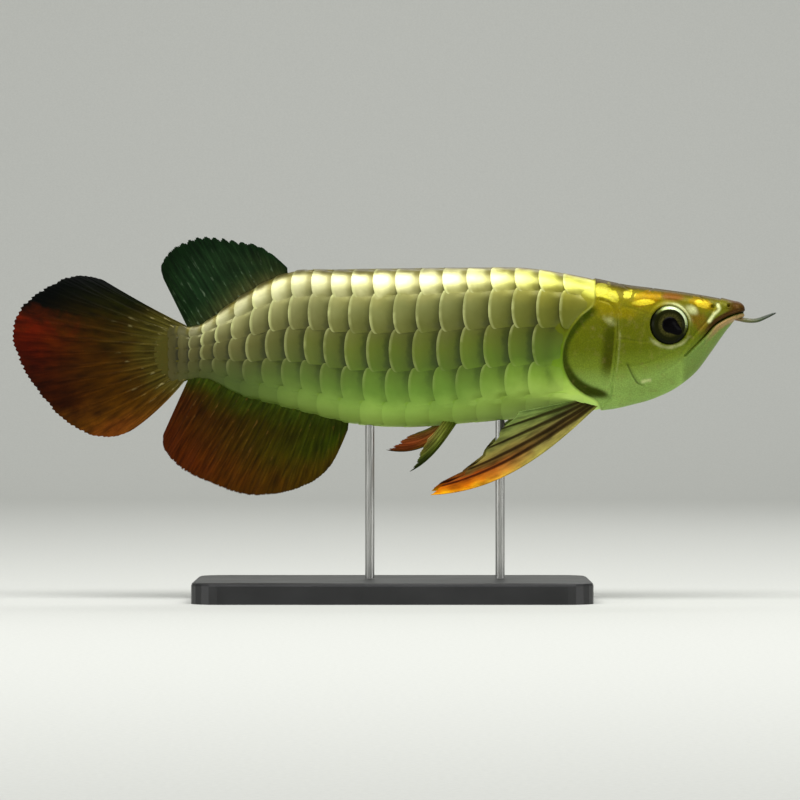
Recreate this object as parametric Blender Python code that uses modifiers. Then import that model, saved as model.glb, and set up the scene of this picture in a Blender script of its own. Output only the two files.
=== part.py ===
"""A young Asian arowana, swimming, as a still life-size model on a display stand.

The head points to +X and +Z is up. The origin is on the floor, under the middle of
the fish's length. Sizes are in millimetres and become metres when a mesh is made.
"""
import math

import bmesh
import bpy
import numpy as np
from mathutils import Matrix, Vector

MM = 0.001
GAP = 0.3

# The outline of the body from the side: (along the length, height).
BACK = [(-80.4, 105.2), (-76.8, 103.9), (-72.5, 105.0), (-67.3, 108.3), (-61.0, 113.2),
        (-54.1, 117.6), (-46.5, 121.8), (-38.9, 124.6), (-20.0, 125.5), (3.0, 125.9),
        (29.4, 126.2), (52.0, 125.9), (71.1, 122.9), (86.3, 119.9), (101.5, 117.9),
        (116.7, 115.7), (124.3, 114.3), (130.0, 112.9)]
BELLY = [(-80.4, 82.4), (-76.8, 83.4), (-70.0, 83.6), (-63.5, 80.4), (-57.9, 77.6),
         (-46.5, 74.4), (-31.3, 70.6), (-16.1, 67.0), (6.6, 65.6), (29.4, 67.2),
         (48.4, 68.8), (71.1, 71.3), (90.1, 74.0), (99.6, 76.7), (109.1, 81.6),
         (115.9, 87.5), (121.2, 94.7), (127.3, 103.2), (130.0, 106.3)]
# Half of the width, and how high up the side the widest place lies (0 belly, 1 back).
HALF_WIDTH = [(-80.4, 1.7), (-76.0, 2.6), (-68.0, 4.0), (-55.0, 6.0), (-38.0, 8.3),
              (-16.0, 10.6), (10.0, 12.1), (40.0, 12.8), (70.0, 12.9), (85.0, 12.5),
              (98.0, 11.3), (110.0, 9.4), (118.0, 7.9), (125.0, 6.1), (130.0, 4.5)]
WIDEST = [(-80.4, 0.5), (-40.0, 0.55), (20.0, 0.6), (85.0, 0.62), (115.0, 0.66),
          (130.0, 0.5)]
# How square the section is above and below its widest place (2 is an ellipse).
TOP_POWER = [(-80.4, 2.0), (-40.0, 2.1), (40.0, 2.4), (85.0, 2.8), (105.0, 3.4),
             (130.0, 2.4)]
BELLY_POWER = [(-80.4, 2.0), (-40.0, 1.9), (40.0, 1.8), (85.0, 1.85), (110.0, 1.9),
               (130.0, 2.0)]
NOSE_START = 130.0
NOSE_TIP = (133.4, 109.6)
TAIL_END = -80.4

# The scales: ten rows round the body, in columns whose pitch grows towards the head.
ROWS_PER_SIDE = 5
STEPS_PER_ROW = 6
FIRST_EDGE = -73.4
LAST_EDGE = 84.0
PITCH = [(-80.0, 4.0), (-73.4, 4.8), (-63.0, 6.6), (-50.0, 7.3), (-34.0, 7.5),
         (-20.0, 8.1), (-2.0, 8.7), (90.0, 8.8)]
SCALE_RISE = 0.45
EDGE_BULGE = 0.3
EDGE_STEP = 0.35
SLANT_AT_BACK = 2.6
SLANT_AT_BELLY = -3.4
SEAM_COLUMN_X = -11.0

# The seam behind the head: the nape, the rear rim of the gill cover and the throat.
HEAD_SEAM = [(76.6, 135.0), (76.4, 118.0), (76.1, 112.7), (70.6, 107.2), (66.6, 101.8),
             (64.2, 94.9), (64.3, 88.8), (67.3, 82.3), (72.6, 77.9), (77.6, 75.3),
             (79.6, 69.0), (80.0, 55.0)]
GILL_FRONT = [(82.0, 75.8), (82.8, 81.6), (83.7, 87.3), (84.4, 94.9), (84.8, 104.3),
              (85.2, 112.9)]
GILL_BOTTOM = 76.2
GILL_TOP = 112.6
GILL_THICKNESS = 1.5
GILL_RISE = 0.3

# The mouth line from in front of the lips down to the corner, then the rear of the jaw.
MOUTH = [(137.0, 109.3), (133.4, 109.1), (130.8, 108.6), (128.0, 107.7), (125.0, 106.3),
         (122.4, 104.7), (118.6, 100.7), (114.0, 96.0), (110.6, 92.6)]
MOUTH_CORNER = 110.6
JAW_REAR = [(106.0, 88.8), (99.6, 84.6), (94.3, 81.2), (91.2, 77.8), (89.6, 72.0),
            (89.2, 60.0)]
JAW_SHIFT = (0.25, -0.28)
LIP_RADIUS = (0.6, 1.0)
LIP_SINK = 0.3
# The upper edge of the bony plate over the upper lip, from its front down to the corner.
CHEEK_PLATE = [(109.2, 92.6), (112.6, 98.4), (116.2, 102.6), (119.2, 106.0), (121.2, 109.6),
               (123.2, 112.2)]
CHEEK_PLATE_FOOT = 0.9
CHEEK_PLATE_RISE = 0.35

EYE = (104.4, 104.2)
EYE_RADIUS = 7.3
EYE_DEPTH = 2.7
EYE_SINK = 1.0
EYE_TURN = 9.0
EYE_RIM = (7.5, 0.7)
NOSTRILS = [(121.0, 111.2), (127.0, 111.4)]
NOSTRIL_RADIUS = 0.8

BARBEL = [(129.6, 107.2, 1.3), (131.4, 106.6, 1.6), (133.7, 106.0, 2.1),
          (138.3, 105.9, 3.0), (141.6, 107.2, 3.6), (145.1, 108.9, 4.0)]
BARBEL_RADIUS = (0.95, 0.35)
FAR_BARBEL_LIFT = 0.5

# Fins: thickness of the web between the rays, and of a ray at its root.
WEB = 0.55
RAY = 1.15
FIN_ROOT_DEPTH = 2.0
CAUDAL_ROOT = (-78.4, 104.3, 83.6)
CAUDAL_MARGIN = [(-110.5, 121.7), (-116.0, 123.3), (-121.5, 123.3), (-131.0, 119.2),
                 (-141.3, 111.5), (-145.0, 103.0), (-142.3, 91.1), (-135.6, 79.7),
                 (-123.5, 67.0), (-113.0, 62.0), (-106.4, 61.7), (-102.0, 63.1),
                 (-98.6, 65.2)]
CAUDAL_RAYS = 16
CAUDAL_STEPS = 8
DORSAL_ROOT = (-39.6, -76.8)
DORSAL_MARGIN = [(-39.9, 126.2), (-44.0, 130.0), (-48.8, 133.6), (-61.7, 137.0),
                 (-71.1, 138.2), (-79.0, 136.4), (-86.0, 131.0), (-88.0, 126.0),
                 (-87.1, 122.2)]
DORSAL_RAYS = 18
DORSAL_STEPS = 6
ANAL_ROOT = (-16.4, -76.6)
ANAL_MARGIN = [(-16.9, 64.6), (-19.6, 58.2), (-23.7, 50.6), (-28.8, 45.6),
               (-38.9, 41.2), (-54.1, 39.6), (-69.2, 44.2), (-83.0, 52.2),
               (-87.0, 57.6), (-87.1, 62.6)]
ANAL_RAYS = 23
ANAL_STEPS = 6

# The outer rays of the tail fin bend outwards by a share of their length: first ray, last
# ray. The sweeps swing each fin out of the middle plane, in mm at its margin, by a wave of
# so many radians along the fin. A spread below 1 sets the first rays wider apart.
CAUDAL_BOW = (0.012, 0.04)
CAUDAL_SWEEP = 5.0
DORSAL_SWEEP = (1.5, 2.5)
DORSAL_SPREAD = 0.75
ANAL_SWEEP = (-2.0, 3.0)
ANAL_SPREAD = 0.62
WEB_REACH = 0.985

# Paired fins: root and ray tips as (along, height, out from the middle).
PECTORAL_ROOT = [(78.2, 74.2), (74.9, 75.2), (71.6, 76.2)]
PECTORAL_TIPS = [(14.2, 40.6, 31.0), (18.0, 43.8, 28.5), (28.4, 50.1, 25.5),
                 (35.9, 58.0, 22.0), (40.8, 65.2, 19.0), (47.6, 71.6, 16.5)]
PECTORAL_RAYS = 6
PECTORAL_STEPS = 9
PECTORAL_NOTCH = 0.9
PELVIC_ROOT = [(24.8, 68.0), (22.4, 68.6), (20.0, 69.2)]
NEAR_PELVIC_TIPS = [(5.9, 48.6, 13.0), (8.6, 52.0, 11.5), (10.6, 56.6, 10.0),
                    (13.0, 61.0, 8.5)]
FAR_PELVIC_TIPS = [(-3.4, 56.9, 15.0), (-0.6, 58.0, 13.0), (3.6, 61.0, 11.5),
                   (9.6, 63.5, 9.5)]
PELVIC_RAYS = 6
PELVIC_STEPS = 6
PELVIC_NOTCH = 0.94

# How far the rays hang below a straight line, in mm: at the first ray and at the last, and
# the power that the bow fades with between them.
PECTORAL_BOW = (7.0, 0.0, 3.5)
NEAR_PELVIC_BOW = (2.2, 0.4, 1.0)
FAR_PELVIC_BOW = (4.6, 0.6, 1.0)
BOW_TO_TIP = (0.75, 0.5)
BOW_TURN = (0.45, -0.9)

# The stand: a flat plate with rounded corners and two rods.
BASE_SIZE = (150.0, 76.0, 8.0)
BASE_CORNER = 10.0
BASE_EDGE = 1.2
ROD_RADIUS = 1.75
ROD_X = {"stand_rod_rear": -8.6, "stand_rod_front": 40.8}
ROD_INTO_BODY = 3.0


def clear_scene():
    for item in list(bpy.data.objects):
        bpy.data.objects.remove(item, do_unlink=True)


def collection(name):
    group = bpy.data.collections.new(name)
    bpy.context.scene.collection.children.link(group)
    return group


def linear(hex_colour):
    """An sRGB hex colour as linear RGBA."""
    channels = [int(hex_colour[i:i + 2], 16) / 255 for i in (1, 3, 5)]
    return [c / 12.92 if c <= 0.04045 else ((c + 0.055) / 1.055) ** 2.4
            for c in channels] + [1.0]


def finish_of(name, hex_colour, roughness, metallic=0.0):
    surface = bpy.data.materials.new(name)
    surface.use_nodes = True
    shader = surface.node_tree.nodes["Principled BSDF"]
    shader.inputs["Base Color"].default_value = linear(hex_colour)
    shader.inputs["Roughness"].default_value = roughness
    shader.inputs["Metallic"].default_value = metallic
    surface.diffuse_color = linear(hex_colour)
    return surface


def smooth(points, x):
    """The height at x of a smooth line through the points."""
    along = np.array([p[0] for p in points])
    height = np.array([p[1] for p in points])
    slope = np.gradient(height, along)
    x = np.clip(x, along[0], along[-1])
    i = np.clip(np.searchsorted(along, x) - 1, 0, len(along) - 2)
    span = along[i + 1] - along[i]
    s = (x - along[i]) / span
    return ((2 * s ** 3 - 3 * s ** 2 + 1) * height[i]
            + (s ** 3 - 2 * s ** 2 + s) * span * slope[i]
            + (3 * s ** 2 - 2 * s ** 3) * height[i + 1]
            + (s ** 3 - s ** 2) * span * slope[i + 1])


def path_through(points, count):
    """Evenly spaced points on a smooth curve through the given ones."""
    points = np.array(points, dtype=float)
    reach = np.concatenate([[0], np.cumsum(np.linalg.norm(np.diff(points, axis=0), axis=1))])
    fine = np.linspace(0, reach[-1], 40 * len(points))
    curve = np.column_stack([smooth(list(zip(reach, column)), fine) for column in points.T])
    length = np.concatenate([[0], np.cumsum(np.linalg.norm(np.diff(curve, axis=0), axis=1))])
    even = np.linspace(0, length[-1], count)
    return np.column_stack([np.interp(even, length, column) for column in curve.T])


def along_path(points, share):
    """The point at a share (0 to 1) of a path's length."""
    curve = path_through(points, 200)
    place = share * (len(curve) - 1)
    return np.array([np.interp(place, np.arange(len(curve)), column) for column in curve.T])


def body_section(x):
    """Back, belly, half width, widest height and the two powers at x."""
    back, belly = smooth(BACK, x), smooth(BELLY, x)
    half = smooth(HALF_WIDTH, x)
    if x > NOSE_START:
        part = min((x - NOSE_START) / (NOSE_TIP[0] - NOSE_START), 0.999)
        shrink = math.sqrt(1 - part ** 2)
        back = NOSE_TIP[1] + (back - NOSE_TIP[1]) * shrink
        belly = NOSE_TIP[1] + (belly - NOSE_TIP[1]) * shrink
        half = half * shrink
    widest = belly + (back - belly) * smooth(WIDEST, x)
    return back, belly, half, widest, smooth(TOP_POWER, x), smooth(BELLY_POWER, x)


def half_width_at(x, z):
    """How far the body's surface is from its middle plane at (x, z)."""
    back, belly, half, widest, top_power, belly_power = body_section(x)
    reach, power = (back - widest, top_power) if z > widest else (widest - belly, belly_power)
    share = min(abs(z - widest) / reach, 1.0)
    return half * (1 - share ** power) ** (1 / power)


def skin_point(x, t, rise=0.0):
    """A point of the right side, t of the way from the back (0) to the belly (1)."""
    back, belly, half, widest, top_power, belly_power = body_section(x)
    angle = np.linspace(0, math.pi, 97)
    power = np.where(angle <= math.pi / 2, top_power, belly_power)
    out = half * np.sin(angle) ** (2 / power)
    up = np.abs(np.cos(angle)) ** (2 / power)
    out[0] = out[-1] = 0.0
    height = np.where(angle <= math.pi / 2, widest + (back - widest) * up,
                      widest - (widest - belly) * up)
    length = np.concatenate([[0], np.cumsum(np.hypot(np.diff(out), np.diff(height)))])
    at = np.clip([t - 0.004, t, t + 0.004], 0, 1) * length[-1]
    y = np.interp(at, length, out)
    z = np.interp(at, length, height)
    if t <= 0 or t >= 1:
        normal = (0.0, 1.0 if t <= 0 else -1.0)
    else:
        tangent = (y[2] - y[0], z[2] - z[0])
        size = math.hypot(*tangent)
        normal = (-tangent[1] / size, tangent[0] / size)
    return Vector((x, -(y[1] + rise * normal[0]), z[1] + rise * normal[1]))


def ring(x_at, rise_at, shares):
    """Points once round the body, down the right side and up the left."""
    right = [skin_point(x_at(t), t, rise_at(t)) for t in shares]
    left = [Vector((p.x, -p.y, p.z)) for p in reversed(right[1:-1])]
    return right + left


def loft(rings, front_tip=None):
    """A closed mesh through rings of equal count, with a fan at each end."""
    bm = bmesh.new()
    loops = [[bm.verts.new(p * MM) for p in points] for points in rings]
    count = len(loops[0])
    for back, front in zip(loops, loops[1:]):
        for i in range(count):
            j = (i + 1) % count
            bm.faces.new((back[i], back[j], front[j], front[i]))
    for points, tip in ((loops[0], None), (loops[-1], front_tip)):
        centre = sum((v.co for v in points), Vector()) / count
        hub = bm.verts.new(tip * MM if tip else centre)
        for i in range(count):
            bm.faces.new((points[i], points[(i + 1) % count], hub))
    bmesh.ops.recalc_face_normals(bm, faces=bm.faces)
    return to_mesh(bm)


def to_mesh(bm):
    mesh = bpy.data.meshes.new("shape")
    bm.to_mesh(mesh)
    bm.free()
    return mesh


def add(name, mesh, group, surface=None):
    mesh.name = name
    item = bpy.data.objects.new(name, mesh)
    group.objects.link(item)
    if surface:
        mesh.materials.append(surface)
        mesh.shade_smooth()
        mesh.set_sharp_from_angle(angle=math.radians(40))
    return item


def add_cutter(name, mesh, cutters):
    item = add(name, mesh, cutters)
    item.hide_render = True
    item.display_type = "WIRE"
    return item


def boolean(item, other, operation):
    step = item.modifiers.new(operation.lower() + "_" + other.name, "BOOLEAN")
    step.operation = operation
    step.solver = "EXACT"
    step.object = other


def settle(item):
    """Applies the modifiers and keeps the largest closed surface."""
    bpy.context.view_layer.update()
    evaluated = item.evaluated_get(bpy.context.evaluated_depsgraph_get())
    mesh = bpy.data.meshes.new_from_object(evaluated)
    item.modifiers.clear()
    bm = bmesh.new()
    bm.from_mesh(mesh)
    bmesh.ops.triangulate(bm, faces=bm.faces)
    shells = []
    left = set(bm.verts)
    while left:
        shell, front = set(), [left.pop()]
        while front:
            vert = front.pop()
            shell.add(vert)
            for edge in vert.link_edges:
                other = edge.other_vert(vert)
                if other in left:
                    left.discard(other)
                    front.append(other)
        shells.append(shell)
    shells.sort(key=len)
    for shell in shells[:-1]:
        bmesh.ops.delete(bm, geom=list(shell), context="VERTS")
    bm.to_mesh(mesh)
    bm.free()
    item.data = mesh
    mesh.shade_smooth()
    mesh.set_sharp_from_angle(angle=math.radians(40))
    return item


def prism(outline, half_depth):
    """A flat outline in the side view, thick across the fish."""
    bm = bmesh.new()
    face = bm.faces.new([bm.verts.new((x * MM, -half_depth * MM, z * MM)) for x, z in outline])
    grown = bmesh.ops.extrude_face_region(bm, geom=[face])
    far = [v for v in grown["geom"] if isinstance(v, bmesh.types.BMVert)]
    bmesh.ops.translate(bm, verts=far, vec=(0, 2 * half_depth * MM, 0))
    bmesh.ops.recalc_face_normals(bm, faces=bm.faces)
    return to_mesh(bm)


def shares(steps):
    return [i / steps for i in range(steps + 1)]


def edge_columns():
    """Where each column of scales ends, at half height, from the tail to the head."""
    edges = [FIRST_EDGE]
    while edges[-1] < LAST_EDGE:
        edges.append(edges[-1] + float(smooth(PITCH, edges[-1])))
    return edges


def row_arc(t):
    """1 at the middle of a row of scales, 0 where two rows meet."""
    off = abs(t * ROWS_PER_SIDE - round(t * ROWS_PER_SIDE)) * 2
    return math.sqrt(max(1 - off ** 2, 0))


def scale_edge_x(edge, t):
    lean = SLANT_AT_BACK + (SLANT_AT_BELLY - SLANT_AT_BACK) * t
    near_tail = min(max((edge - TAIL_END) / 30, 0), 1)
    bulge = EDGE_BULGE * float(smooth(PITCH, edge))
    return edge + lean * near_tail - bulge * (row_arc(t) - 0.5)


def scale_rise(t):
    """How far a scale's free edge stands up; it is low under the fins' roots."""
    calm = min(max((t - 0.03) / 0.1, 0), 1) * min(max((0.97 - t) / 0.1, 0), 1)
    return SCALE_RISE * calm * (0.3 + 0.7 * row_arc(t))


def scaled_rings(edges, around):
    """Two rings for each column: the foot behind its free edge, then the edge."""
    rings = []
    for edge in edges:
        rings.append(ring(lambda t: scale_edge_x(edge, t) - EDGE_STEP, lambda t: 0.0, around))
        rings.append(ring(lambda t: scale_edge_x(edge, t), scale_rise, around))
    return rings


def body_loft(x_from, x_to, step, around, rise):
    """A smooth length of the body, a little larger than life where rise is over 0."""
    count = max(int(round((x_to - x_from) / step)), 1)
    stations = [x_from + (x_to - x_from) * i / count for i in range(count + 1)]
    return [ring(lambda t: x, rise, around) for x in stations]


def clearance(name, x_from, x_to, cutters, over_scales=True):
    """A cutter that leaves the gap round the body and over its scales."""
    around = shares(ROWS_PER_SIDE * STEPS_PER_ROW)

    def rise(t):
        return GAP + (scale_rise(t) if over_scales else 0.0)

    rings = body_loft(max(x_from, TAIL_END), min(x_to, NOSE_START), 3.0, around, rise)
    if x_from < TAIL_END:
        rings[0] = [p + Vector((-GAP, 0, 0)) for p in rings[0]]
    tip = None
    if x_to > NOSE_START:
        rings += nose_rings(around, rise)
        tip = Vector((NOSE_TIP[0] + GAP, 0, NOSE_TIP[1]))
    return add_cutter(name, loft(rings, tip), cutters)


def nose_rings(around, rise):
    reach = NOSE_TIP[0] - NOSE_START
    stations = [NOSE_START + reach * math.sin(math.radians(a)) for a in (25, 45, 62, 76)]
    return [ring(lambda t: x, rise, around) for x in stations]


def make_trunk_and_tail(parts, cutters):
    around = shares(ROWS_PER_SIDE * STEPS_PER_ROW)
    edges = edge_columns()
    seam = min(range(len(edges)), key=lambda i: abs(edges[i] - SEAM_COLUMN_X))
    skin = finish_of("scaled_skin", "#8a8c50", 0.35, 0.2)
    rear = finish_of("scaled_skin_of_the_tail", "#7a7a50", 0.35, 0.2)

    # The tail, from its rounded end to the low ring under the seam column's edge.
    end = [ring(lambda t: x, lambda t: 0.0, around) for x in (TAIL_END, -77.6)]
    rings = end + scaled_rings(edges[:seam], around)
    rings.append(ring(lambda t: scale_edge_x(edges[seam], t) - EDGE_STEP - 0.1,
                      lambda t: 0.0, around))
    add("tail", loft(rings), parts, rear)

    # The trunk, from the seam column's raised edge to inside the head.
    rings = [ring(lambda t: scale_edge_x(edges[seam], t), scale_rise, around)]
    rings += scaled_rings(edges[seam + 1:], around)
    trunk = add("trunk", loft(rings), parts, skin)
    line = [(x - GAP - 0.1, z) for x, z in seam_line()]
    front = add_cutter("space_for_the_head", prism(line + [(150, 55), (150, 135)], 40), cutters)
    boolean(trunk, front, "DIFFERENCE")
    settle(trunk)


def seam_line():
    return [tuple(p) for p in path_through(HEAD_SEAM, 26)]


def closed_patch(steps, place, outer, inner):
    """A closed plate on the right side, from inside the body's surface to outside it.

    place gives the side view's (x, z) for a share along (u) and a share up (v).
    """
    bm = bmesh.new()
    bmesh.ops.create_grid(bm, x_segments=steps[0], y_segments=steps[1], size=1)
    for vert in bm.verts:
        x, z = place((vert.co.x + 1) / 2, (vert.co.y + 1) / 2)
        vert.co = Vector((x, -(half_width_at(x, z) - inner), z)) * MM
    bmesh.ops.triangulate(bm, faces=bm.faces, quad_method="FIXED")
    grown = bmesh.ops.extrude_face_region(bm, geom=list(bm.faces), use_keep_orig=True)
    far = [v for v in grown["geom"] if isinstance(v, bmesh.types.BMVert)]
    bmesh.ops.translate(bm, verts=far, vec=(0, -(inner + outer) * MM, 0))
    bmesh.ops.recalc_face_normals(bm, faces=bm.faces)
    return to_mesh(bm)


def gill_place(front_shift, rear_shift, ends):
    """Places a patch between the seam and the front of the gill cover."""
    seam = np.array(seam_line())[::-1]

    def place(u, v):
        z = GILL_BOTTOM - ends + (GILL_TOP - GILL_BOTTOM + 2 * ends) * v
        rear = np.interp(z, seam[:, 1], seam[:, 0]) + rear_shift
        front = float(smooth([(h, x) for x, h in GILL_FRONT], z)) + front_shift
        return rear + (front - rear) * u, z
    return place


def mirrored(mesh):
    copy = mesh.copy()
    copy.transform(Matrix.Scale(-1, 4, (0, 1, 0)))
    copy.flip_normals()
    return copy


def make_gill_covers(head, parts, cutters):
    steps = (6, 11)
    cover = closed_patch(steps, gill_place(0, 0, 0), GILL_RISE, GILL_THICKNESS)
    recess = closed_patch(steps, gill_place(GAP, -4, GAP), 4, GILL_THICKNESS + GAP)
    for side, shape, hollow in (("right", cover, recess),
                                ("left", mirrored(cover), mirrored(recess))):
        add("gill_cover_" + side, shape, parts,
            finish_of("gill_cover_bone_" + side, "#5c6a18", 0.3, 0.25))
        pocket = add_cutter("gill_recess_" + side, hollow, cutters)
        boolean(head, pocket, "DIFFERENCE")


def tube(name, points, radii):
    """A round tube through the points, as a welded mesh."""
    curve = bpy.data.curves.new(name, "CURVE")
    curve.dimensions = "3D"
    curve.bevel_depth = MM
    curve.bevel_resolution = 2
    curve.use_fill_caps = True
    spline = curve.splines.new("POLY")
    spline.points.add(len(points) - 1)
    for point, place, radius in zip(spline.points, points, radii):
        point.co = (*(Vector(place) * MM), 1)
        point.radius = radius
    item = bpy.data.objects.new(name, curve)
    bpy.context.scene.collection.objects.link(item)
    bpy.context.view_layer.update()
    mesh = bpy.data.meshes.new_from_object(
        item.evaluated_get(bpy.context.evaluated_depsgraph_get()))
    bpy.data.objects.remove(item, do_unlink=True)
    bm = bmesh.new()
    bm.from_mesh(mesh)
    bmesh.ops.remove_doubles(bm, verts=bm.verts, dist=1e-6)
    bmesh.ops.recalc_face_normals(bm, faces=bm.faces)
    bm.to_mesh(mesh)
    bm.free()
    return mesh


def head_block():
    """The head with its jaw still in one piece."""
    around = shares(20)

    def flat(t):
        return 0.0

    rings = body_loft(60.0, 84.0, 4.0, around, flat)
    rings += body_loft(86.4, NOSE_START, 2.2, around, flat)
    rings += nose_rings(around, flat)
    return loft(rings, Vector((NOSE_TIP[0], 0, NOSE_TIP[1])))


def fuse(item, meshes):
    """Joins closed meshes to an object as one solid."""
    group = collection("pieces_to_join")
    pieces = [add("piece", mesh, group) for mesh in meshes]
    step = item.modifiers.new("join", "BOOLEAN")
    step.operation = "UNION"
    step.solver = "EXACT"
    step.operand_type = "COLLECTION"
    step.collection = group
    settle(item)
    for piece in pieces:
        bpy.data.objects.remove(piece, do_unlink=True)
    bpy.data.collections.remove(group)


def lips():
    """One tube along the mouth line, round the snout; the mouth's cut halves it."""
    line = sorted(MOUTH)
    reach = NOSE_TIP[0] - NOSE_START
    stations = list(np.linspace(MOUTH_CORNER, NOSE_START, 12))
    stations += [NOSE_START + reach * math.sin(math.radians(a)) for a in (35, 60, 78)]
    right, radii = [], []
    for x in stations:
        z = float(smooth(line, x))
        forward = (x - MOUTH_CORNER) / (NOSE_TIP[0] - MOUTH_CORNER)
        right.append((x, -(half_width_at(x, z) - LIP_SINK), z))
        radii.append(LIP_RADIUS[0] + (LIP_RADIUS[1] - LIP_RADIUS[0]) * min(2 * forward, 1))
    left = [(x, -y, z) for x, y, z in reversed(right)]
    tip = (NOSE_TIP[0] - LIP_SINK, 0.0, float(smooth(line, NOSE_TIP[0])))
    return tube("lips", right + [tip] + left, radii + [LIP_RADIUS[1]] + radii[::-1])


def cheek_plate():
    """The plate of bone above the upper lip, on the right."""
    foot = 0.7 * CHEEK_PLATE_FOOT
    lower = path_through([(x - foot, z + foot) for x, z in MOUTH[:3:-1]], 40)
    upper = path_through(CHEEK_PLATE, 40)

    def place(u, v):
        low, high = lower[round(39 * u)], upper[round(39 * u)]
        return low + (high - low) * v
    return closed_patch((10, 3), place, CHEEK_PLATE_RISE, 1.0)


def eye_frame(side, sink):
    """Places a shape by the eye: centre on the skin less sink, its Y axis facing out."""
    x, z = EYE
    turn = math.radians(EYE_TURN)
    out = Vector((math.sin(turn), side * math.cos(turn), 0))
    centre = Vector((x, side * half_width_at(x, z), z)) - out * sink
    return Matrix.Translation(centre * MM) @ Matrix.Rotation(-side * turn, 4, "Z")


def eye_rim(side):
    bpy.ops.mesh.primitive_torus_add(major_radius=EYE_RIM[0] * MM, minor_radius=EYE_RIM[1] * MM,
                                     major_segments=20, minor_segments=6)
    item = bpy.context.object
    mesh = item.data
    bpy.data.objects.remove(item, do_unlink=True)
    mesh.transform(eye_frame(side, 0.1) @ Matrix.Rotation(math.pi / 2, 4, "X"))
    return mesh


def make_head(parts, cutters):
    plate = cheek_plate()
    block = head_block()
    head = add("head", block, parts, finish_of("head_skin_gold", "#c8a820", 0.3, 0.3))
    fuse(head, [lips(), plate, mirrored(plate), eye_rim(-1), eye_rim(1)])
    jaw = add("lower_jaw", head.data.copy(), parts, finish_of("jaw_skin", "#8fa860", 0.35, 0.1))
    jaw.data.materials.clear()
    jaw.data.materials.append(bpy.data.materials["jaw_skin"])

    behind = add_cutter("space_for_the_trunk",
                        prism(seam_line() + [(30, 55), (30, 135)], 40), cutters)
    line = [tuple(p) for p in path_through(MOUTH + JAW_REAR, 34)]
    below = add_cutter("space_for_the_jaw", prism(line + [(150, 60), (150, 109.3)], 40), cutters)
    shifted = [(x + JAW_SHIFT[0], z + JAW_SHIFT[1]) for x, z in line]
    shifted += [(150, 59.7), (150, 109.0)]
    within = add_cutter("reach_of_the_jaw", prism(shifted, 40), cutters)
    boolean(head, behind, "DIFFERENCE")
    boolean(head, below, "DIFFERENCE")
    boolean(jaw, within, "INTERSECT")
    make_gill_covers(head, parts, cutters)
    make_eyes(head, parts, cutters)
    cut_nostrils(head, cutters)
    settle(head)
    settle(jaw)


def lens(radius, depth, frame):
    """A flattened ball with its poles along the frame's Y axis."""
    bm = bmesh.new()
    bmesh.ops.create_uvsphere(bm, u_segments=20, v_segments=8, radius=1)
    shape = Matrix.Diagonal((radius * MM, depth * MM, radius * MM, 1))
    bmesh.ops.transform(bm, matrix=frame @ shape @ Matrix.Rotation(math.pi / 2, 4, "X"),
                        verts=bm.verts)
    return to_mesh(bm)


def make_eyes(head, parts, cutters):
    for name, side in (("right", -1), ("left", 1)):
        frame = eye_frame(side, EYE_SINK)
        add("eye_" + name, lens(EYE_RADIUS, EYE_DEPTH, frame), parts,
            finish_of("eye_" + name + "_cornea", "#16140e", 0.08))
        socket = lens(EYE_RADIUS + GAP, EYE_DEPTH + GAP, frame)
        boolean(head, add_cutter("eye_socket_" + name, socket, cutters), "DIFFERENCE")


def cut_nostrils(head, cutters):
    for number, (x, z) in enumerate(NOSTRILS):
        for side in (-1, 1):
            bm = bmesh.new()
            bmesh.ops.create_icosphere(bm, subdivisions=1, radius=NOSTRIL_RADIUS * MM)
            place = Vector((x, side * half_width_at(x, z), z)) * MM
            bmesh.ops.translate(bm, verts=bm.verts, vec=place)
            pit = add_cutter("nostril_%d_%d" % (number, side), to_mesh(bm), cutters)
            boolean(head, pit, "DIFFERENCE")


def make_barbels(parts, cutters):
    space = clearance("space_for_the_chin", 120, 140, cutters, over_scales=False)
    for side, sign, lift in (("right", -1, 0.0), ("left", 1, FAR_BARBEL_LIFT)):
        route = path_through([(x, sign * y, z) for x, z, y in BARBEL], 12)
        reach = np.linspace(0, 1, len(route))
        points = [(x, y, z + lift * math.sin(math.pi * s)) for (x, y, z), s in zip(route, reach)]
        radii = BARBEL_RADIUS[0] + (BARBEL_RADIUS[1] - BARBEL_RADIUS[0]) * reach
        barbel = add("barbel_" + side, tube("barbel", points, radii), parts,
                     finish_of("barbel_" + side + "_skin", "#4a4a20", 0.4))
        boolean(barbel, space, "DIFFERENCE")
        settle(barbel)


def fin(name, place, columns, steps, parts, surface, space):
    """A web from root (u = 0) to margin (u = 1), with rays on its even columns."""
    bm = bmesh.new()
    bmesh.ops.create_grid(bm, x_segments=columns, y_segments=steps, size=1)
    weights = []
    for vert in bm.verts:
        v, u = (vert.co.x + 1) / 2, (vert.co.y + 1) / 2
        on_ray = round(v * columns) % 2 == 0
        vert.co = place(u, v, on_ray) * MM
        weights.append((1 - 0.8 * u) if on_ray else 0.0)
    bmesh.ops.triangulate(bm, faces=bm.faces, quad_method="FIXED")
    bm.verts.index_update()
    item = add(name, to_mesh(bm), parts, surface)
    ridge = item.vertex_groups.new(name="rays")
    for index, weight in enumerate(weights):
        ridge.add([index], weight, "REPLACE")
    thick = item.modifiers.new("web_and_rays", "SOLIDIFY")
    thick.thickness = RAY * MM
    thick.offset = 0
    thick.vertex_group = ridge.name
    thick.thickness_vertex_group = WEB / RAY
    boolean(item, space, "DIFFERENCE")
    settle(item)
    return item


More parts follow.
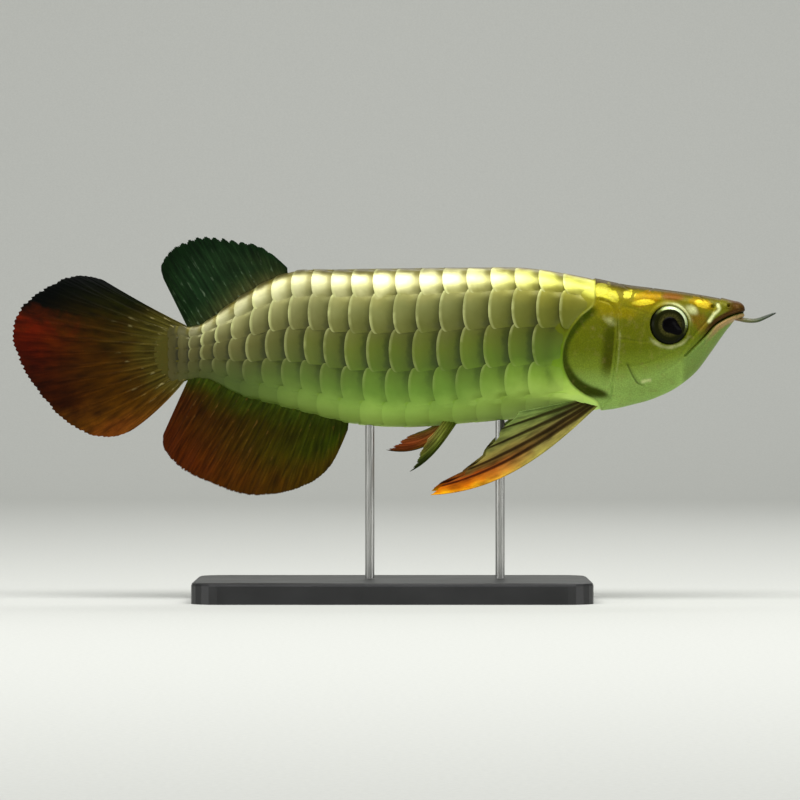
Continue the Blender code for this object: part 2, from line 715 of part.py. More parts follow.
def median_place(root, margin, bow, spread, sweep):
    """Where a point of a fin on the middle plane lies."""
    edge = path_through(margin, 200)

    def place(u, v, on_ray):
        tip_x, tip_z = [np.interp(spread(v) * 199, np.arange(200), column) for column in edge.T]
        root_x, root_z = root(v)
        dx, dz = tip_x - root_x, tip_z - root_z
        reach = u * (1.0 if on_ray else WEB_REACH)
        lift = 4 * reach * (1 - reach) * bow(v)
        return Vector((root_x + dx * reach - dz * lift, sweep(u, v),
                       root_z + dz * reach + dx * lift))
    return place


def make_median_fins(parts, cutters):
    space = clearance("space_for_the_tail", TAIL_END - 1, -10.0, cutters)

    def caudal_root(v):
        x, top, bottom = CAUDAL_ROOT
        return x, top + (bottom - top) * v

    def caudal_bow(v):
        return CAUDAL_BOW[0] * (1 - v) ** 3 + CAUDAL_BOW[1] * v ** 3

    def caudal_sweep(u, v):
        return CAUDAL_SWEEP * u ** 2 * (0.8 + 0.2 * math.cos(2 * math.pi * v))

    fin("caudal_fin", median_place(caudal_root, CAUDAL_MARGIN, caudal_bow, lambda v: v,
                                   caudal_sweep),
        2 * (CAUDAL_RAYS - 1), CAUDAL_STEPS, parts,
        finish_of("caudal_web", "#5a1e08", 0.4), space)

    def dorsal_root(v):
        x = DORSAL_ROOT[0] + (DORSAL_ROOT[1] - DORSAL_ROOT[0]) * v
        return x, float(smooth(BACK, x)) - FIN_ROOT_DEPTH

    def side_wave(size, turn):
        return lambda u, v: size * u ** 2 * math.sin(turn * v)

    fin("dorsal_fin", median_place(dorsal_root, DORSAL_MARGIN, lambda v: 0.0,
                                   lambda v: v ** DORSAL_SPREAD, side_wave(*DORSAL_SWEEP)),
        2 * (DORSAL_RAYS - 1), DORSAL_STEPS, parts,
        finish_of("dorsal_web", "#16301c", 0.4), space)

    def anal_root(v):
        x = ANAL_ROOT[0] + (ANAL_ROOT[1] - ANAL_ROOT[0]) * v
        return x, float(smooth(BELLY, x)) + FIN_ROOT_DEPTH

    fin("anal_fin", median_place(anal_root, ANAL_MARGIN, lambda v: 0.0,
                                 lambda v: v ** ANAL_SPREAD, side_wave(*ANAL_SWEEP)),
        2 * (ANAL_RAYS - 1), ANAL_STEPS, parts,
        finish_of("anal_web", "#431c04", 0.4), space)


def paired_place(side, root, tips, bow, notch):
    """Where a point of a paired fin lies; side is -1 for the right, 1 for the left."""
    first, last, power = bow
    near, more = BOW_TO_TIP

    def place(u, v, on_ray):
        x, z = along_path(root, v)
        y = half_width_at(x, z) - FIN_ROOT_DEPTH
        start = Vector((x, side * y, z))
        tip_x, tip_z, tip_y = along_path(tips, v)
        end = Vector((tip_x, side * tip_y, tip_z))
        reach = u * (1.0 if on_ray else notch)
        sag = 4 * reach * (1 - reach) * (near + more * reach)
        sag *= last + (first - last) * (1 - v) ** power
        return start.lerp(end, reach) + Vector((BOW_TURN[0] * sag, 0, BOW_TURN[1] * sag))
    return place


def make_paired_fins(parts, cutters):
    chest = clearance("space_for_the_chest", 60.0, 92.0, cutters)
    middle = clearance("space_for_the_belly", 8.0, 36.0, cutters)
    for side, sign in (("right", -1), ("left", 1)):
        fin("pectoral_fin_" + side,
            paired_place(sign, PECTORAL_ROOT, PECTORAL_TIPS, PECTORAL_BOW, PECTORAL_NOTCH),
            2 * (PECTORAL_RAYS - 1), PECTORAL_STEPS, parts,
            finish_of("pectoral_web_" + side, "#9a6a28", 0.4), chest)
        tips = NEAR_PELVIC_TIPS if sign < 0 else FAR_PELVIC_TIPS
        bow = NEAR_PELVIC_BOW if sign < 0 else FAR_PELVIC_BOW
        fin("pelvic_fin_" + side,
            paired_place(sign, PELVIC_ROOT, tips, bow, PELVIC_NOTCH),
            2 * (PELVIC_RAYS - 1), PELVIC_STEPS, parts,
            finish_of("pelvic_web_" + side, "#6a5020", 0.4), middle)


def make_stand(parts, cutters):
    width, depth, height = BASE_SIZE
    bm = bmesh.new()
    bmesh.ops.create_cube(bm, size=1)
    bmesh.ops.scale(bm, vec=(width * MM, depth * MM, height * MM), verts=bm.verts)
    bmesh.ops.translate(bm, vec=(0, 0, height / 2 * MM), verts=bm.verts)
    upright = [e for e in bm.edges if abs(e.verts[0].co.z - e.verts[1].co.z) > 1e-4]
    bmesh.ops.bevel(bm, geom=upright, offset=BASE_CORNER * MM, segments=5,
                    profile=0.5, affect="EDGES")
    rims = [e for e in bm.edges if min(v.co.z for v in e.verts) > (height - 0.01) * MM]
    bmesh.ops.bevel(bm, geom=rims, offset=BASE_EDGE * MM, segments=2,
                    profile=0.5, affect="EDGES")
    add("stand_base", to_mesh(bm), parts, finish_of("stand_black_paint", "#141414", 0.45))

    steel = finish_of("stand_steel", "#a8a8a4", 0.3, 1.0)
    for name, x in ROD_X.items():
        foot = height + GAP
        top = float(smooth(BELLY, x)) + ROD_INTO_BODY
        bm = bmesh.new()
        bmesh.ops.create_cone(bm, cap_ends=True, segments=16, radius1=ROD_RADIUS * MM,
                              radius2=ROD_RADIUS * MM, depth=(top - foot) * MM)
        bmesh.ops.translate(bm, vec=Vector((x, 0, (top + foot) / 2)) * MM, verts=bm.verts)
        rod = add(name, to_mesh(bm), parts, steel.copy())
        near = clearance("space_over_" + name, x - 8, x + 8, cutters)
        boolean(rod, near, "DIFFERENCE")
        settle(rod)


def main():
    clear_scene()
    parts = collection("asian_arowana")
    cutters = collection("cutters")
    make_trunk_and_tail(parts, cutters)
    make_head(parts, cutters)
    make_barbels(parts, cutters)
    make_median_fins(parts, cutters)
    make_paired_fins(parts, cutters)
    make_stand(parts, cutters)


main()
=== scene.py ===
# %% [markdown]
# # A young Asian arowana as a museum model
#
# An Asian arowana is a long river fish with an upturned mouth, two barbels on its chin and
# very large scales. This lesson dresses a plain solid model of one: a skin with the bones
# and folds of the head, single scales laid over it, eyes, fins with branching rays, and a
# display stand. The solids come first, because they hold the true sizes and places.

# %% Load the solids
import math

import bpy
import numpy as np
from mathutils import Matrix, Vector


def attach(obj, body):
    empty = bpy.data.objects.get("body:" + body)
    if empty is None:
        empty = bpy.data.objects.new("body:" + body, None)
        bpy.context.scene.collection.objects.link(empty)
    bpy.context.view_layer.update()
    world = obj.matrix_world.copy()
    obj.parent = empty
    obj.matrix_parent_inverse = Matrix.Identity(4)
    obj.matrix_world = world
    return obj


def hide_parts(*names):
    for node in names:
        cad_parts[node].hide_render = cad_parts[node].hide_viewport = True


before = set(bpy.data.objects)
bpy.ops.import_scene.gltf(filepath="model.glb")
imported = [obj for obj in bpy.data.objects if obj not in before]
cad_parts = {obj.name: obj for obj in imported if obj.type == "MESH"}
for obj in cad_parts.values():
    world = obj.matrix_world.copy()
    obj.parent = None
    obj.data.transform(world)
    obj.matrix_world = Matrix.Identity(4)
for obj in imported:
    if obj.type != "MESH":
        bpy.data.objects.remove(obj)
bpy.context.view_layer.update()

MM = 0.001

# %% [markdown]
# ## Camera, backdrop and light
#
# The photograph looks straight at the fish's right side, with the fish level. A long lens
# from 1.6 m keeps the outline nearly free of perspective. The lens follows from the width
# that the picture shows at the fish. The Standard view shows a surface's colours as they
# were picked, while Blender's own choice would soften the fish's strong yellows and greens.

# %% The camera
PICTURE_WIDTH = 303.5
CAMERA_PLACE = (2.85, -1600.0, 75.9)

camera_data = bpy.data.cameras.new("side_view")
camera_data.sensor_width = 36.0
camera_data.lens = camera_data.sensor_width * -CAMERA_PLACE[1] / PICTURE_WIDTH
camera = bpy.data.objects.new("side_view", camera_data)
camera.location = Vector(CAMERA_PLACE) * MM
camera.rotation_euler = (math.radians(90), 0, 0)
bpy.context.scene.collection.objects.link(camera)
bpy.context.scene.camera = camera
bpy.context.scene.view_settings.view_transform = "Standard"
print("lens", round(camera_data.lens, 1), "mm")

# %% [markdown]
# Two small helpers come first. One turns the sRGB hex colours that a paint chart or a
# picture editor shows into the linear values that a shader counts in. The other adds a
# node with its settings and links in one call, so that each material below reads as a list.

# %% Helpers for materials
MIX_FACTOR, MIX_FIRST, MIX_SECOND, MIXED = 0, 6, 7, 2


def linear(hex_colour, cover=1.0):
    """An sRGB hex colour as linear RGB, with how much of it covers what lies below."""
    channels = [int(hex_colour[i:i + 2], 16) / 255 for i in (1, 3, 5)]
    return [c / 12.92 if c <= 0.04045 else ((c + 0.055) / 1.055) ** 2.4
            for c in channels] + [cover]


def add_node(tree, kind, inputs=None, stops=None, **settings):
    """Adds a node, sets its options and ramp, and fills its inputs with values or links."""
    made = tree.nodes.new("ShaderNode" + kind)
    for name, value in settings.items():
        setattr(made, name, value)
    for name, value in (inputs or {}).items():
        if isinstance(value, bpy.types.NodeSocket):
            tree.links.new(value, made.inputs[name])
        else:
            made.inputs[name].default_value = value
    if stops:
        ramp = made.color_ramp
        ramp.elements.remove(ramp.elements[1])
        ramp.elements[0].position, ramp.elements[0].color = stops[0]
        for place, colour in stops[1:]:
            ramp.elements.new(place).color = colour
    return made


def new_finish(name):
    """A material with an empty Principled shader: (material, tree, shader)."""
    surface = bpy.data.materials.new(name)
    surface.use_nodes = True
    tree = surface.node_tree
    return surface, tree, tree.nodes["Principled BSDF"]


def set_sockets(shader, values):
    """Sets or links the named inputs of a shader."""
    for name, value in values.items():
        if isinstance(value, bpy.types.NodeSocket):
            shader.id_data.links.new(value, shader.inputs[name])
        else:
            shader.inputs[name].default_value = value


# %% [markdown]
# The backdrop is a roll of pale paper that curves up behind the stand without a corner, as
# in a product photograph. It is one strip of points: flat, a quarter circle, then upright.
# It rises well behind the fish, so that a camera also fits between the two.

# %% The backdrop
PAPER_WIDTH = 8.0
PAPER_FRONT = -3.0
PAPER_BEND = (1.6, 0.7)
PAPER_TOP = 4.0


def backdrop_profile():
    """The paper's outline from the front edge of the floor to the top of the wall."""
    start, radius = PAPER_BEND
    bend = [(start + radius * math.sin(a), radius * (1 - math.cos(a)))
            for a in np.linspace(0, math.pi / 2, 25)]
    return [(PAPER_FRONT, 0.0)] + bend + [(start + radius, PAPER_TOP)]


profile = backdrop_profile()
strip = [(x, y, z) for y, z in profile for x in (-PAPER_WIDTH / 2, PAPER_WIDTH / 2)]
paper_mesh = bpy.data.meshes.new("backdrop")
paper_mesh.from_pydata(strip, [], [(2 * i, 2 * i + 1, 2 * i + 3, 2 * i + 2)
                                   for i in range(len(profile) - 1)])
paper_mesh.shade_smooth()
backdrop = bpy.data.objects.new("backdrop", paper_mesh)
bpy.context.scene.collection.objects.link(backdrop)

# %% [markdown]
# Seamless background paper is uncoated and matt. Its fibres show only as a faint tooth, so
# a fine noise moves the colour by a hair, and the roughness stays high.

# %% Seamless paper
PAPER_GRAIN_MM = 1.5

paper, tree, shader = new_finish("seamless_background_paper")
place = add_node(tree, "TexCoord").outputs["Object"]
grain = add_node(tree, "TexNoise", {"Vector": place, "Scale": 1 / (PAPER_GRAIN_MM * MM)})
tint = add_node(tree, "ValToRGB", {"Fac": grain.outputs["Fac"]},
                stops=[(0.3, linear("#c2c3be")), (0.7, linear("#c7c8c3"))])
set_sockets(shader, {"Base Color": tint.outputs["Color"], "Roughness": 0.9, "IOR": 1.45})
paper_mesh.materials.append(paper)

# %% [markdown]
# The fish is lit from above, which is why the upper scales blaze and the flank stays calm.
# A long soft box over the fish gives that band of light. Two weak ones stand low and far out
# on each side: they reach the belly, and flat wet surfaces don't mirror them into the lens.
# The pale paper sends light back up as well, and a box that faces away from the fish keeps
# its upright part bright.

# %% Lights
LIGHTS = {
    # name: (place, point it faces, width, depth, watts), in metres
    "soft_box_above": ((0.0, -0.42, 1.1), (0.0, 0.0, 0.1), 1.5, 0.6, 19.0),
    "soft_box_left": ((-1.05, -0.95, 0.24), (0.0, 0.0, 0.09), 0.8, 0.45, 4.6),
    "soft_box_right": ((1.1, -0.9, 0.2), (0.0, 0.0, 0.09), 0.8, 0.38, 3.6),
    "soft_box_behind": ((0.4, 0.8, 0.9), (0.0, 0.0, 0.09), 1.0, 0.5, 2.4),
    "paper_light": ((0.0, 1.3, 1.9), (0.0, 2.3, 0.2), 2.4, 0.4, 14.0),
}

for name, (place, target, width, depth, watts) in LIGHTS.items():
    lamp_data = bpy.data.lights.new(name, "AREA")
    lamp_data.shape = "RECTANGLE"
    lamp_data.size, lamp_data.size_y, lamp_data.energy = width, depth, watts
    lamp = bpy.data.objects.new(name, lamp_data)
    lamp.location = place
    lamp.rotation_euler = (Vector(target) - Vector(place)).to_track_quat("-Z", "Y").to_euler()
    bpy.context.scene.collection.objects.link(lamp)

world = bpy.data.worlds.new("studio")
world.use_nodes = True
world.node_tree.nodes["Background"].inputs["Color"].default_value = linear("#eef1ee")
world.node_tree.nodes["Background"].inputs["Strength"].default_value = 0.34
bpy.context.scene.world = world
print("lights:", ", ".join(LIGHTS))

# %% [markdown]
# ## The shape of the body
#
# The body is a row of cross-sections. Its outline from the side is two smooth lines, the
# back and the belly, and each section is a rounded shape between them. It closes in a round
# nose, and at the tail in a thin rounded sheath over the roots of the fin's rays. Another
# way would be to sculpt it, but measured lines keep the skin exactly where the solids are.

# %% Outlines in millimetres
BACK = [(-80.4, 105.2), (-76.8, 103.9), (-72.5, 105.0), (-67.3, 108.3), (-61.0, 113.2),
        (-54.1, 117.6), (-46.5, 121.8), (-38.9, 124.6), (-20.0, 125.5), (3.0, 125.9),
        (29.4, 126.2), (52.0, 125.9), (71.1, 122.9), (86.3, 119.9), (101.5, 117.9),
        (116.7, 115.7), (124.3, 114.3), (130.0, 112.9)]
BELLY = [(-80.4, 82.4), (-76.8, 83.4), (-70.0, 83.6), (-63.5, 80.4), (-57.9, 77.6),
         (-46.5, 74.4), (-31.3, 70.6), (-16.1, 67.0), (6.6, 65.6), (29.4, 67.2),
         (48.4, 68.8), (71.1, 71.3), (90.1, 74.0), (99.6, 76.7), (109.1, 81.6),
         (115.9, 87.5), (121.2, 94.7), (127.3, 103.2), (130.0, 106.3)]
HALF_WIDTH = [(-80.4, 1.7), (-76.0, 2.6), (-68.0, 4.0), (-55.0, 6.0), (-38.0, 8.3),
              (-16.0, 10.6), (10.0, 12.1), (40.0, 12.8), (70.0, 12.9), (85.0, 12.5),
              (98.0, 11.3), (110.0, 9.4), (118.0, 7.9), (125.0, 6.1), (130.0, 4.5)]
WIDEST = [(-80.4, 0.5), (-40.0, 0.55), (20.0, 0.6), (85.0, 0.62), (115.0, 0.66),
          (130.0, 0.5)]
TOP_POWER = [(-80.4, 2.0), (-40.0, 2.1), (40.0, 2.4), (85.0, 2.8), (105.0, 3.4),
             (130.0, 2.4)]
BELLY_POWER = [(-80.4, 2.0), (-40.0, 1.9), (40.0, 1.8), (85.0, 1.85), (110.0, 1.9),
               (130.0, 2.0)]
TAIL_END, NOSE_START, NOSE_TIP = -80.4, 130.0, (133.4, 109.6)
SHEATH_TIP, SHEATH_HALF_WIDTH = (-90.5, 94.2), 0.12


def smooth(points, x):
    """The height at x of a smooth line through the points; x may be an array."""
    along, height = np.array(points, dtype=float).T
    slope = np.gradient(height, along)
    x = np.clip(x, along[0], along[-1])
    i = np.clip(np.searchsorted(along, x) - 1, 0, len(along) - 2)
    span = along[i + 1] - along[i]
    s = (x - along[i]) / span
    return ((2 * s ** 3 - 3 * s ** 2 + 1) * height[i]
            + (s ** 3 - 2 * s ** 2 + s) * span * slope[i]
            + (3 * s ** 2 - 2 * s ** 3) * height[i + 1]
            + (s ** 3 - s ** 2) * span * slope[i + 1])


def section(x):
    """Back, belly, half width, widest height and the two powers at each x."""
    x = np.asarray(x, dtype=float)
    nose = np.clip((x - NOSE_START) / (NOSE_TIP[0] - NOSE_START), 0, 0.9995)
    tail = np.clip((TAIL_END - x) / (TAIL_END - SHEATH_TIP[0]), 0, 0.9995)
    close = np.sqrt(1 - nose ** 2) * np.sqrt(1 - tail ** 2)
    tip = np.where(tail > 0, SHEATH_TIP[1], NOSE_TIP[1])
    back = tip + (smooth(BACK, x) - tip) * close
    belly = tip + (smooth(BELLY, x) - tip) * close
    half = smooth(HALF_WIDTH, x)
    half = half * np.sqrt(1 - nose ** 2) + (SHEATH_HALF_WIDTH - half) * tail
    widest = belly + (back - belly) * smooth(WIDEST, x)
    return back, belly, half, widest, smooth(TOP_POWER, x), smooth(BELLY_POWER, x)


def half_width_at(x, z):
    """How far the body's surface is from its middle plane at (x, z)."""
    back, belly, half, widest, top_power, belly_power = section(x)
    upper = z > widest
    reach = np.where(upper, back - widest, widest - belly)
    power = np.where(upper, top_power, belly_power)
    share = np.minimum(np.abs(z - widest) / reach, 1.0)
    return half * (1 - share ** power) ** (1 / power)


def half_rings(stations, shares):
    """Points of the right side: a row for each station, a column for each share."""
    back, belly, half, widest, top_power, belly_power = (v[:, None] for v in section(stations))
    angle = np.linspace(0, math.pi, 193)[None, :]
    upper = angle <= math.pi / 2
    power = np.where(upper, top_power, belly_power)
    out = half * np.abs(np.sin(angle)) ** (2 / power)
    out[:, [0, -1]] = 0.0
    up = np.abs(np.cos(angle)) ** (2 / power)
    height = np.where(upper, widest + (back - widest) * up, widest - (widest - belly) * up)
    step = np.hypot(np.diff(out, axis=1), np.diff(height, axis=1))
    length = np.concatenate([np.zeros((len(stations), 1)), np.cumsum(step, axis=1)], axis=1)
    rows = []
    for x, reach, y, z in zip(stations, length, out, height):
        at = shares * reach[-1]
        rows.append(np.column_stack([np.full(len(shares), x), -np.interp(at, reach, y),
                                     np.interp(at, reach, z)]))
    return np.array(rows)


def unit(vectors):
    return vectors / np.maximum(np.linalg.norm(vectors, axis=-1, keepdims=True), 1e-9)


def grid_normals(grid):
    """Outward directions on the right side's grid of points, level on the middle line."""
    across = np.gradient(grid, axis=1)
    along = np.gradient(grid, axis=0)
    normal = np.cross(across, along)
    normal[:, [0, -1], 1] = 0.0
    return unit(normal)


girth = half_rings(np.array([0.0]), np.linspace(0, 1, 200))[0]
print("half girth at the middle:", round(np.linalg.norm(np.diff(girth, axis=0), axis=1).sum(), 1), "mm")

# %% [markdown]
# Scales are placed by two numbers: how far along the fish, and which share of the way from
# the back (0) to the belly (1). A table of the surface at every half millimetre turns those
# two numbers into a point and the direction that faces out, quickly and for any count.

# %% A map of the surface
MAP_STEP = 0.5
map_stations = np.arange(SHEATH_TIP[0] + 0.1, NOSE_START + MAP_STEP, MAP_STEP)
MAP_SHARES = 121
map_points = half_rings(map_stations, np.linspace(0, 1, MAP_SHARES))
map_normals = grid_normals(map_points)


def skin_at(x, t, rise=0.0):
    """Points on the right side, rise out from the surface; t past 0 or 1 is on the left."""
    beyond = (t < 0) | (t > 1)
    t = np.abs(t)
    t = np.where(t > 1, 2 - t, t)
    i = np.clip((x - map_stations[0]) / MAP_STEP, 0, len(map_stations) - 1.001)
    j = np.clip(t * (MAP_SHARES - 1), 0, MAP_SHARES - 1.001)
    i0, j0 = i.astype(int), j.astype(int)
    fi, fj = (i - i0)[..., None], (j - j0)[..., None]

    def read(table):
        near = table[i0, j0] * (1 - fj) + table[i0, j0 + 1] * fj
        far = table[i0 + 1, j0] * (1 - fj) + table[i0 + 1, j0 + 1] * fj
        return near * (1 - fi) + far * fi

    place = read(map_points) + unit(read(map_normals)) * np.asarray(rise)[..., None]
    place[..., 1] *= np.where(beyond, -1.0, 1.0)
    return place


# %% [markdown]
# Meshes are made from arrays of points and faces. Each point can carry named numbers, such
# as how far up the side it lies, and the materials read those to know where they are. A
# piece may also carry a map for baking, one place in a unit square for each point.

# %% Helpers for meshes
def grid_faces(rows, columns, wrap=False):
    """Faces of four corners over a grid of points, closed round its columns if asked."""
    i = np.arange(rows - 1)[:, None]
    j = np.arange(columns if wrap else columns - 1)[None, :]
    k = (j + 1) % columns
    corners = (i * columns + j, i * columns + k, (i + 1) * columns + k, (i + 1) * columns + j)
    return np.stack([np.broadcast_to(c, (rows - 1, j.shape[1])) for c in corners], -1).reshape(-1, 4)


def solid_from_sheets(top, bottom):
    """Two grids of points as one closed body: (points, faces)."""
    rows, columns = top.shape[:2]
    face = grid_faces(rows, columns)
    count = rows * columns
    index = np.arange(count).reshape(rows, columns)
    border = np.concatenate([index[0, :-1], index[:-1, -1], index[-1, :0:-1], index[:0:-1, 0]])
    after = np.roll(border, -1)
    rim = np.column_stack([border, border + count, after + count, after])
    points = np.concatenate([top.reshape(-1, 3), bottom.reshape(-1, 3)])
    return points, np.concatenate([face, face[:, ::-1] + count, rim])


def make_piece(name, points, faces, finish, values=None, bake_map=None, sharp=40):
    """An object in the row frame from points in millimetres, riding on the fish."""
    mesh = bpy.data.meshes.new(name)
    mesh.from_pydata(np.asarray(points) * MM, [], [list(f) for f in faces])
    for key, value in (values or {}).items():
        layer = mesh.attributes.new(key, "FLOAT", "POINT")
        layer.data.foreach_set("value", np.asarray(value, dtype=np.float32).ravel())
    if bake_map is not None:
        layer = mesh.uv_layers.new(name="OFBake")
        corner = np.empty(len(mesh.loops), dtype=np.int32)
        mesh.loops.foreach_get("vertex_index", corner)
        layer.data.foreach_set("uv", np.asarray(bake_map, dtype=np.float32)[corner].ravel())
    mesh.materials.append(finish)
    mesh.shade_smooth()
    mesh.set_sharp_from_angle(angle=math.radians(sharp))
    item = bpy.data.objects.new(name, mesh)
    bpy.context.scene.collection.objects.link(item)
    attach(item, "root")
    print(name, len(mesh.vertices), "points,", len(mesh.polygons), "faces")
    return item


# %% [markdown]
# ## The head
#
# The head of an arowana is bone under thin skin: a plate over the gills, the cheek plates
# behind the eye, a bone over the upper lip, and a lower jaw that closes from below at a
# steep angle. Each is drawn as a line or an area in the side view, and the skin rises or
# sinks by how far a point lies from it. Sculpting by hand would do as well, but distances
# give clean edges that can be moved by changing one number.

# %% Lines of the head in the side view, in millimetres
HEAD_SEAM = [(76.6, 135.0), (76.4, 118.0), (76.1, 112.7), (70.6, 107.2), (66.6, 101.8),
             (64.2, 94.9), (64.3, 88.8), (67.3, 82.3), (72.6, 77.9), (77.6, 75.3),
             (79.6, 69.0), (80.0, 55.0)]
GILL_FRONT = [(79.6, 74.4), (82.0, 76.4), (82.8, 81.6), (83.7, 87.3), (84.4, 94.9),
              (84.8, 104.3), (84.4, 108.6), (81.6, 112.4), (78.0, 113.6)]
MOUTH = [(137.0, 109.3), (133.4, 109.1), (130.8, 108.6), (128.0, 107.7), (125.0, 106.3),
         (122.4, 104.7), (118.6, 100.7), (114.0, 96.0), (110.6, 92.6)]
UPPER_LIP_BONE = [(109.2, 92.6), (112.6, 98.4), (116.2, 102.6), (119.2, 106.0), (121.2, 109.6),
                  (123.2, 112.2)]
JAW_REAR = [(110.6, 92.6), (106.0, 88.8), (101.0, 85.4)]
JAW_JOINT = [(88.6, 89.2), (89.8, 86.6), (91.2, 84.1), (92.7, 82.2), (94.2, 81.5)]
CHEEK_LINES = [
    [(84.8, 99.0), (89.5, 98.4), (95.0, 98.0), (97.6, 98.8)],
    [(86.0, 88.5), (93.5, 89.0), (101.0, 91.6), (106.8, 94.6)],
    [(97.2, 108.0), (92.0, 109.8), (86.5, 110.6), (84.8, 108.2)],
]
EYE, EYE_RADIUS, EYE_DEPTH, EYE_SINK, EYE_TURN = (104.4, 104.2), 7.3, 2.7, 1.0, 9.0
NOSTRILS = [(121.0, 111.2, 0.75), (127.0, 111.4, 0.6)]


def path_through(points, count):
    """Evenly spaced points on a smooth curve through the given ones."""
    points = np.array(points, dtype=float)
    reach = np.concatenate([[0], np.cumsum(np.linalg.norm(np.diff(points, axis=0), axis=1))])
    fine = np.linspace(0, reach[-1], 40 * len(points))
    curve = np.column_stack([smooth(list(zip(reach, column)), fine) for column in points.T])
    length = np.concatenate([[0], np.cumsum(np.linalg.norm(np.diff(curve, axis=0), axis=1))])
    even = np.linspace(0, length[-1], count)
    return np.column_stack([np.interp(even, length, column) for column in curve.T])


def beside(x, z, path):
    """Distance from a path in the side view, positive on the left of its direction."""
    points = path_through(path, 8 * len(path))
    nearest = np.full(np.shape(x), 1e9)
    side = np.ones(np.shape(x))
    for (ax, az), (bx, bz) in zip(points[:-1], points[1:]):
        dx, dz = bx - ax, bz - az
        s = np.clip(((x - ax) * dx + (z - az) * dz) / (dx * dx + dz * dz), 0, 1)
        ex, ez = x - ax - s * dx, z - az - s * dz
        away = np.hypot(ex, ez)
        closer = away < nearest
        nearest = np.where(closer, away, nearest)
        side = np.where(closer, np.where(dx * ez - dz * ex >= 0, 1.0, -1.0), side)
    return nearest * side


def ramp(value, start, end):
    """0 before start, 1 after end, and a smooth rise between them."""
    s = np.clip((value - start) / (end - start), 0, 1)
    return s * s * (3 - 2 * s)


def bump(distance, middle, width):
    """1 at the middle of a ridge or groove, falling to 0 at about twice its width."""
    return np.exp(-((distance - middle) / width) ** 2)


# %% [markdown]
# The next cell is the sculpting itself. Each line of it is one feature: how high it
# stands, where its middle lies and how wide it is. Positive numbers come forward.

# %% Relief of the head
def head_relief(x, z, arc):
    """How far the skin stands out at points of the head; arc is mm from the back's middle."""
    seam = beside(x, z, HEAD_SEAM)
    cover_front = beside(x, z, GILL_FRONT)
    mouth = beside(x, z, MOUTH)
    bone = beside(x, z, UPPER_LIP_BONE)
    forward = ramp(x, 111.0, 126.0)

    # The gill cover: a domed plate with a soft rim, standing over the first scales.
    relief = 0.34 * ramp(seam, -0.25, 0.35) - 0.25 * ramp(seam, 4.0, 14.0)
    inside = np.minimum(seam, cover_front)
    relief += 0.42 * ramp(inside, 0.4, 7.0)
    relief -= 0.16 * bump(seam, 1.7, 0.45) * ramp(cover_front, 0.0, 3.0) * ramp(-z, -112.0, -108.0)
    relief -= 0.42 * bump(cover_front, 0.0, 0.33) + -0.16 * bump(cover_front, -1.1, 0.5)

    # The mouth: a deep line with a lip on each side, fuller towards the front.
    relief -= 0.9 * bump(mouth, 0.0, 0.34)
    relief += (0.22 + 0.34 * forward) * bump(mouth, -0.95, 0.55)
    relief += (0.16 + 0.34 * forward) * bump(mouth, 0.95, 0.6)
    relief -= 0.16 * forward * bump(mouth, 2.3, 0.5)

    # The bone over the upper lip, and the seams of the cheek and the jaw's joint.
    on_bone = ramp(-bone, -0.1, 0.4) * ramp(-mouth, 1.2, 1.7) * ramp(x, 108.6, 110.4)
    relief += 0.4 * on_bone
    relief -= 0.3 * bump(bone, 0.35, 0.3) * ramp(-mouth, 0.6, 1.4)
    joint = beside(x, z, JAW_JOINT)
    relief -= 0.35 * bump(joint, 0.0, 0.6)
    relief += 0.2 * bump(joint, 1.2, 0.7)
    relief -= 0.2 * bump(beside(x, z, JAW_REAR), 0.0, 0.45)
    for line in CHEEK_LINES:
        relief -= 0.2 * bump(beside(x, z, line), 0.0, 0.34)

    # The socket, a fold of clear skin round the eye, and the nostrils' pits and rims.
    round_eye = np.hypot(x - EYE[0], z - EYE[1])
    relief += 0.34 * bump(round_eye, 7.9, 0.5) - 0.12 * bump(round_eye, 9.4, 0.5)
    relief -= 3.2 * ramp(-round_eye, -7.45, -6.9)
    for px, pz, size in NOSTRILS:
        round_pit = np.hypot(x - px, z - pz)
        relief += 0.3 * bump(round_pit, size + 0.3, 0.28) - 1.0 * ramp(-round_pit, -size, -size / 2)

    # The forehead: a middle seam and the seams between the plates of the skull.
    on_top = ramp(-arc, -10.5, -8.0)
    relief -= 0.22 * bump(arc, 0.0, 0.4) * ramp(x, 79.0, 82.0) * ramp(-x, -121.0, -118.0)
    for seam_x, bow in ((85.6, 0.05), (99.0, -0.035), (114.6, 0.06)):
        relief -= 0.24 * on_top * bump(x, seam_x + bow * arc ** 2, 0.34)
    relief -= 0.2 * bump(arc, 5.2 + 0.9 * np.sin(x / 3.1), 0.35) * ramp(x, 86.0, 88.0) * ramp(-x, -113.0, -110.0)
    return relief


print("relief at the mouth line:", round(float(head_relief(np.array([124.0]), np.array([105.8]),
                                                           np.array([12.0]))[0]), 2), "mm")

# %% [markdown]
# ## The skin
#
# One closed skin covers the whole fish, so that no seam shows between the head and the
# body. Its rings stand close together on the head, a third of a millimetre apart, and wide
# apart under the scales. It stands on the solid's surface at the head and a little inside
# it on the body, where the scales lie over it. Under the side scales it lies deeper and is
# painted dark, as painted shade for the gaps between the plates.

# %% The skin's points
UNDER_SCALES = 0.3
UNDER_SIDE_SCALES = 0.55
HEAD_FROM = 60.0
SHARES = 140

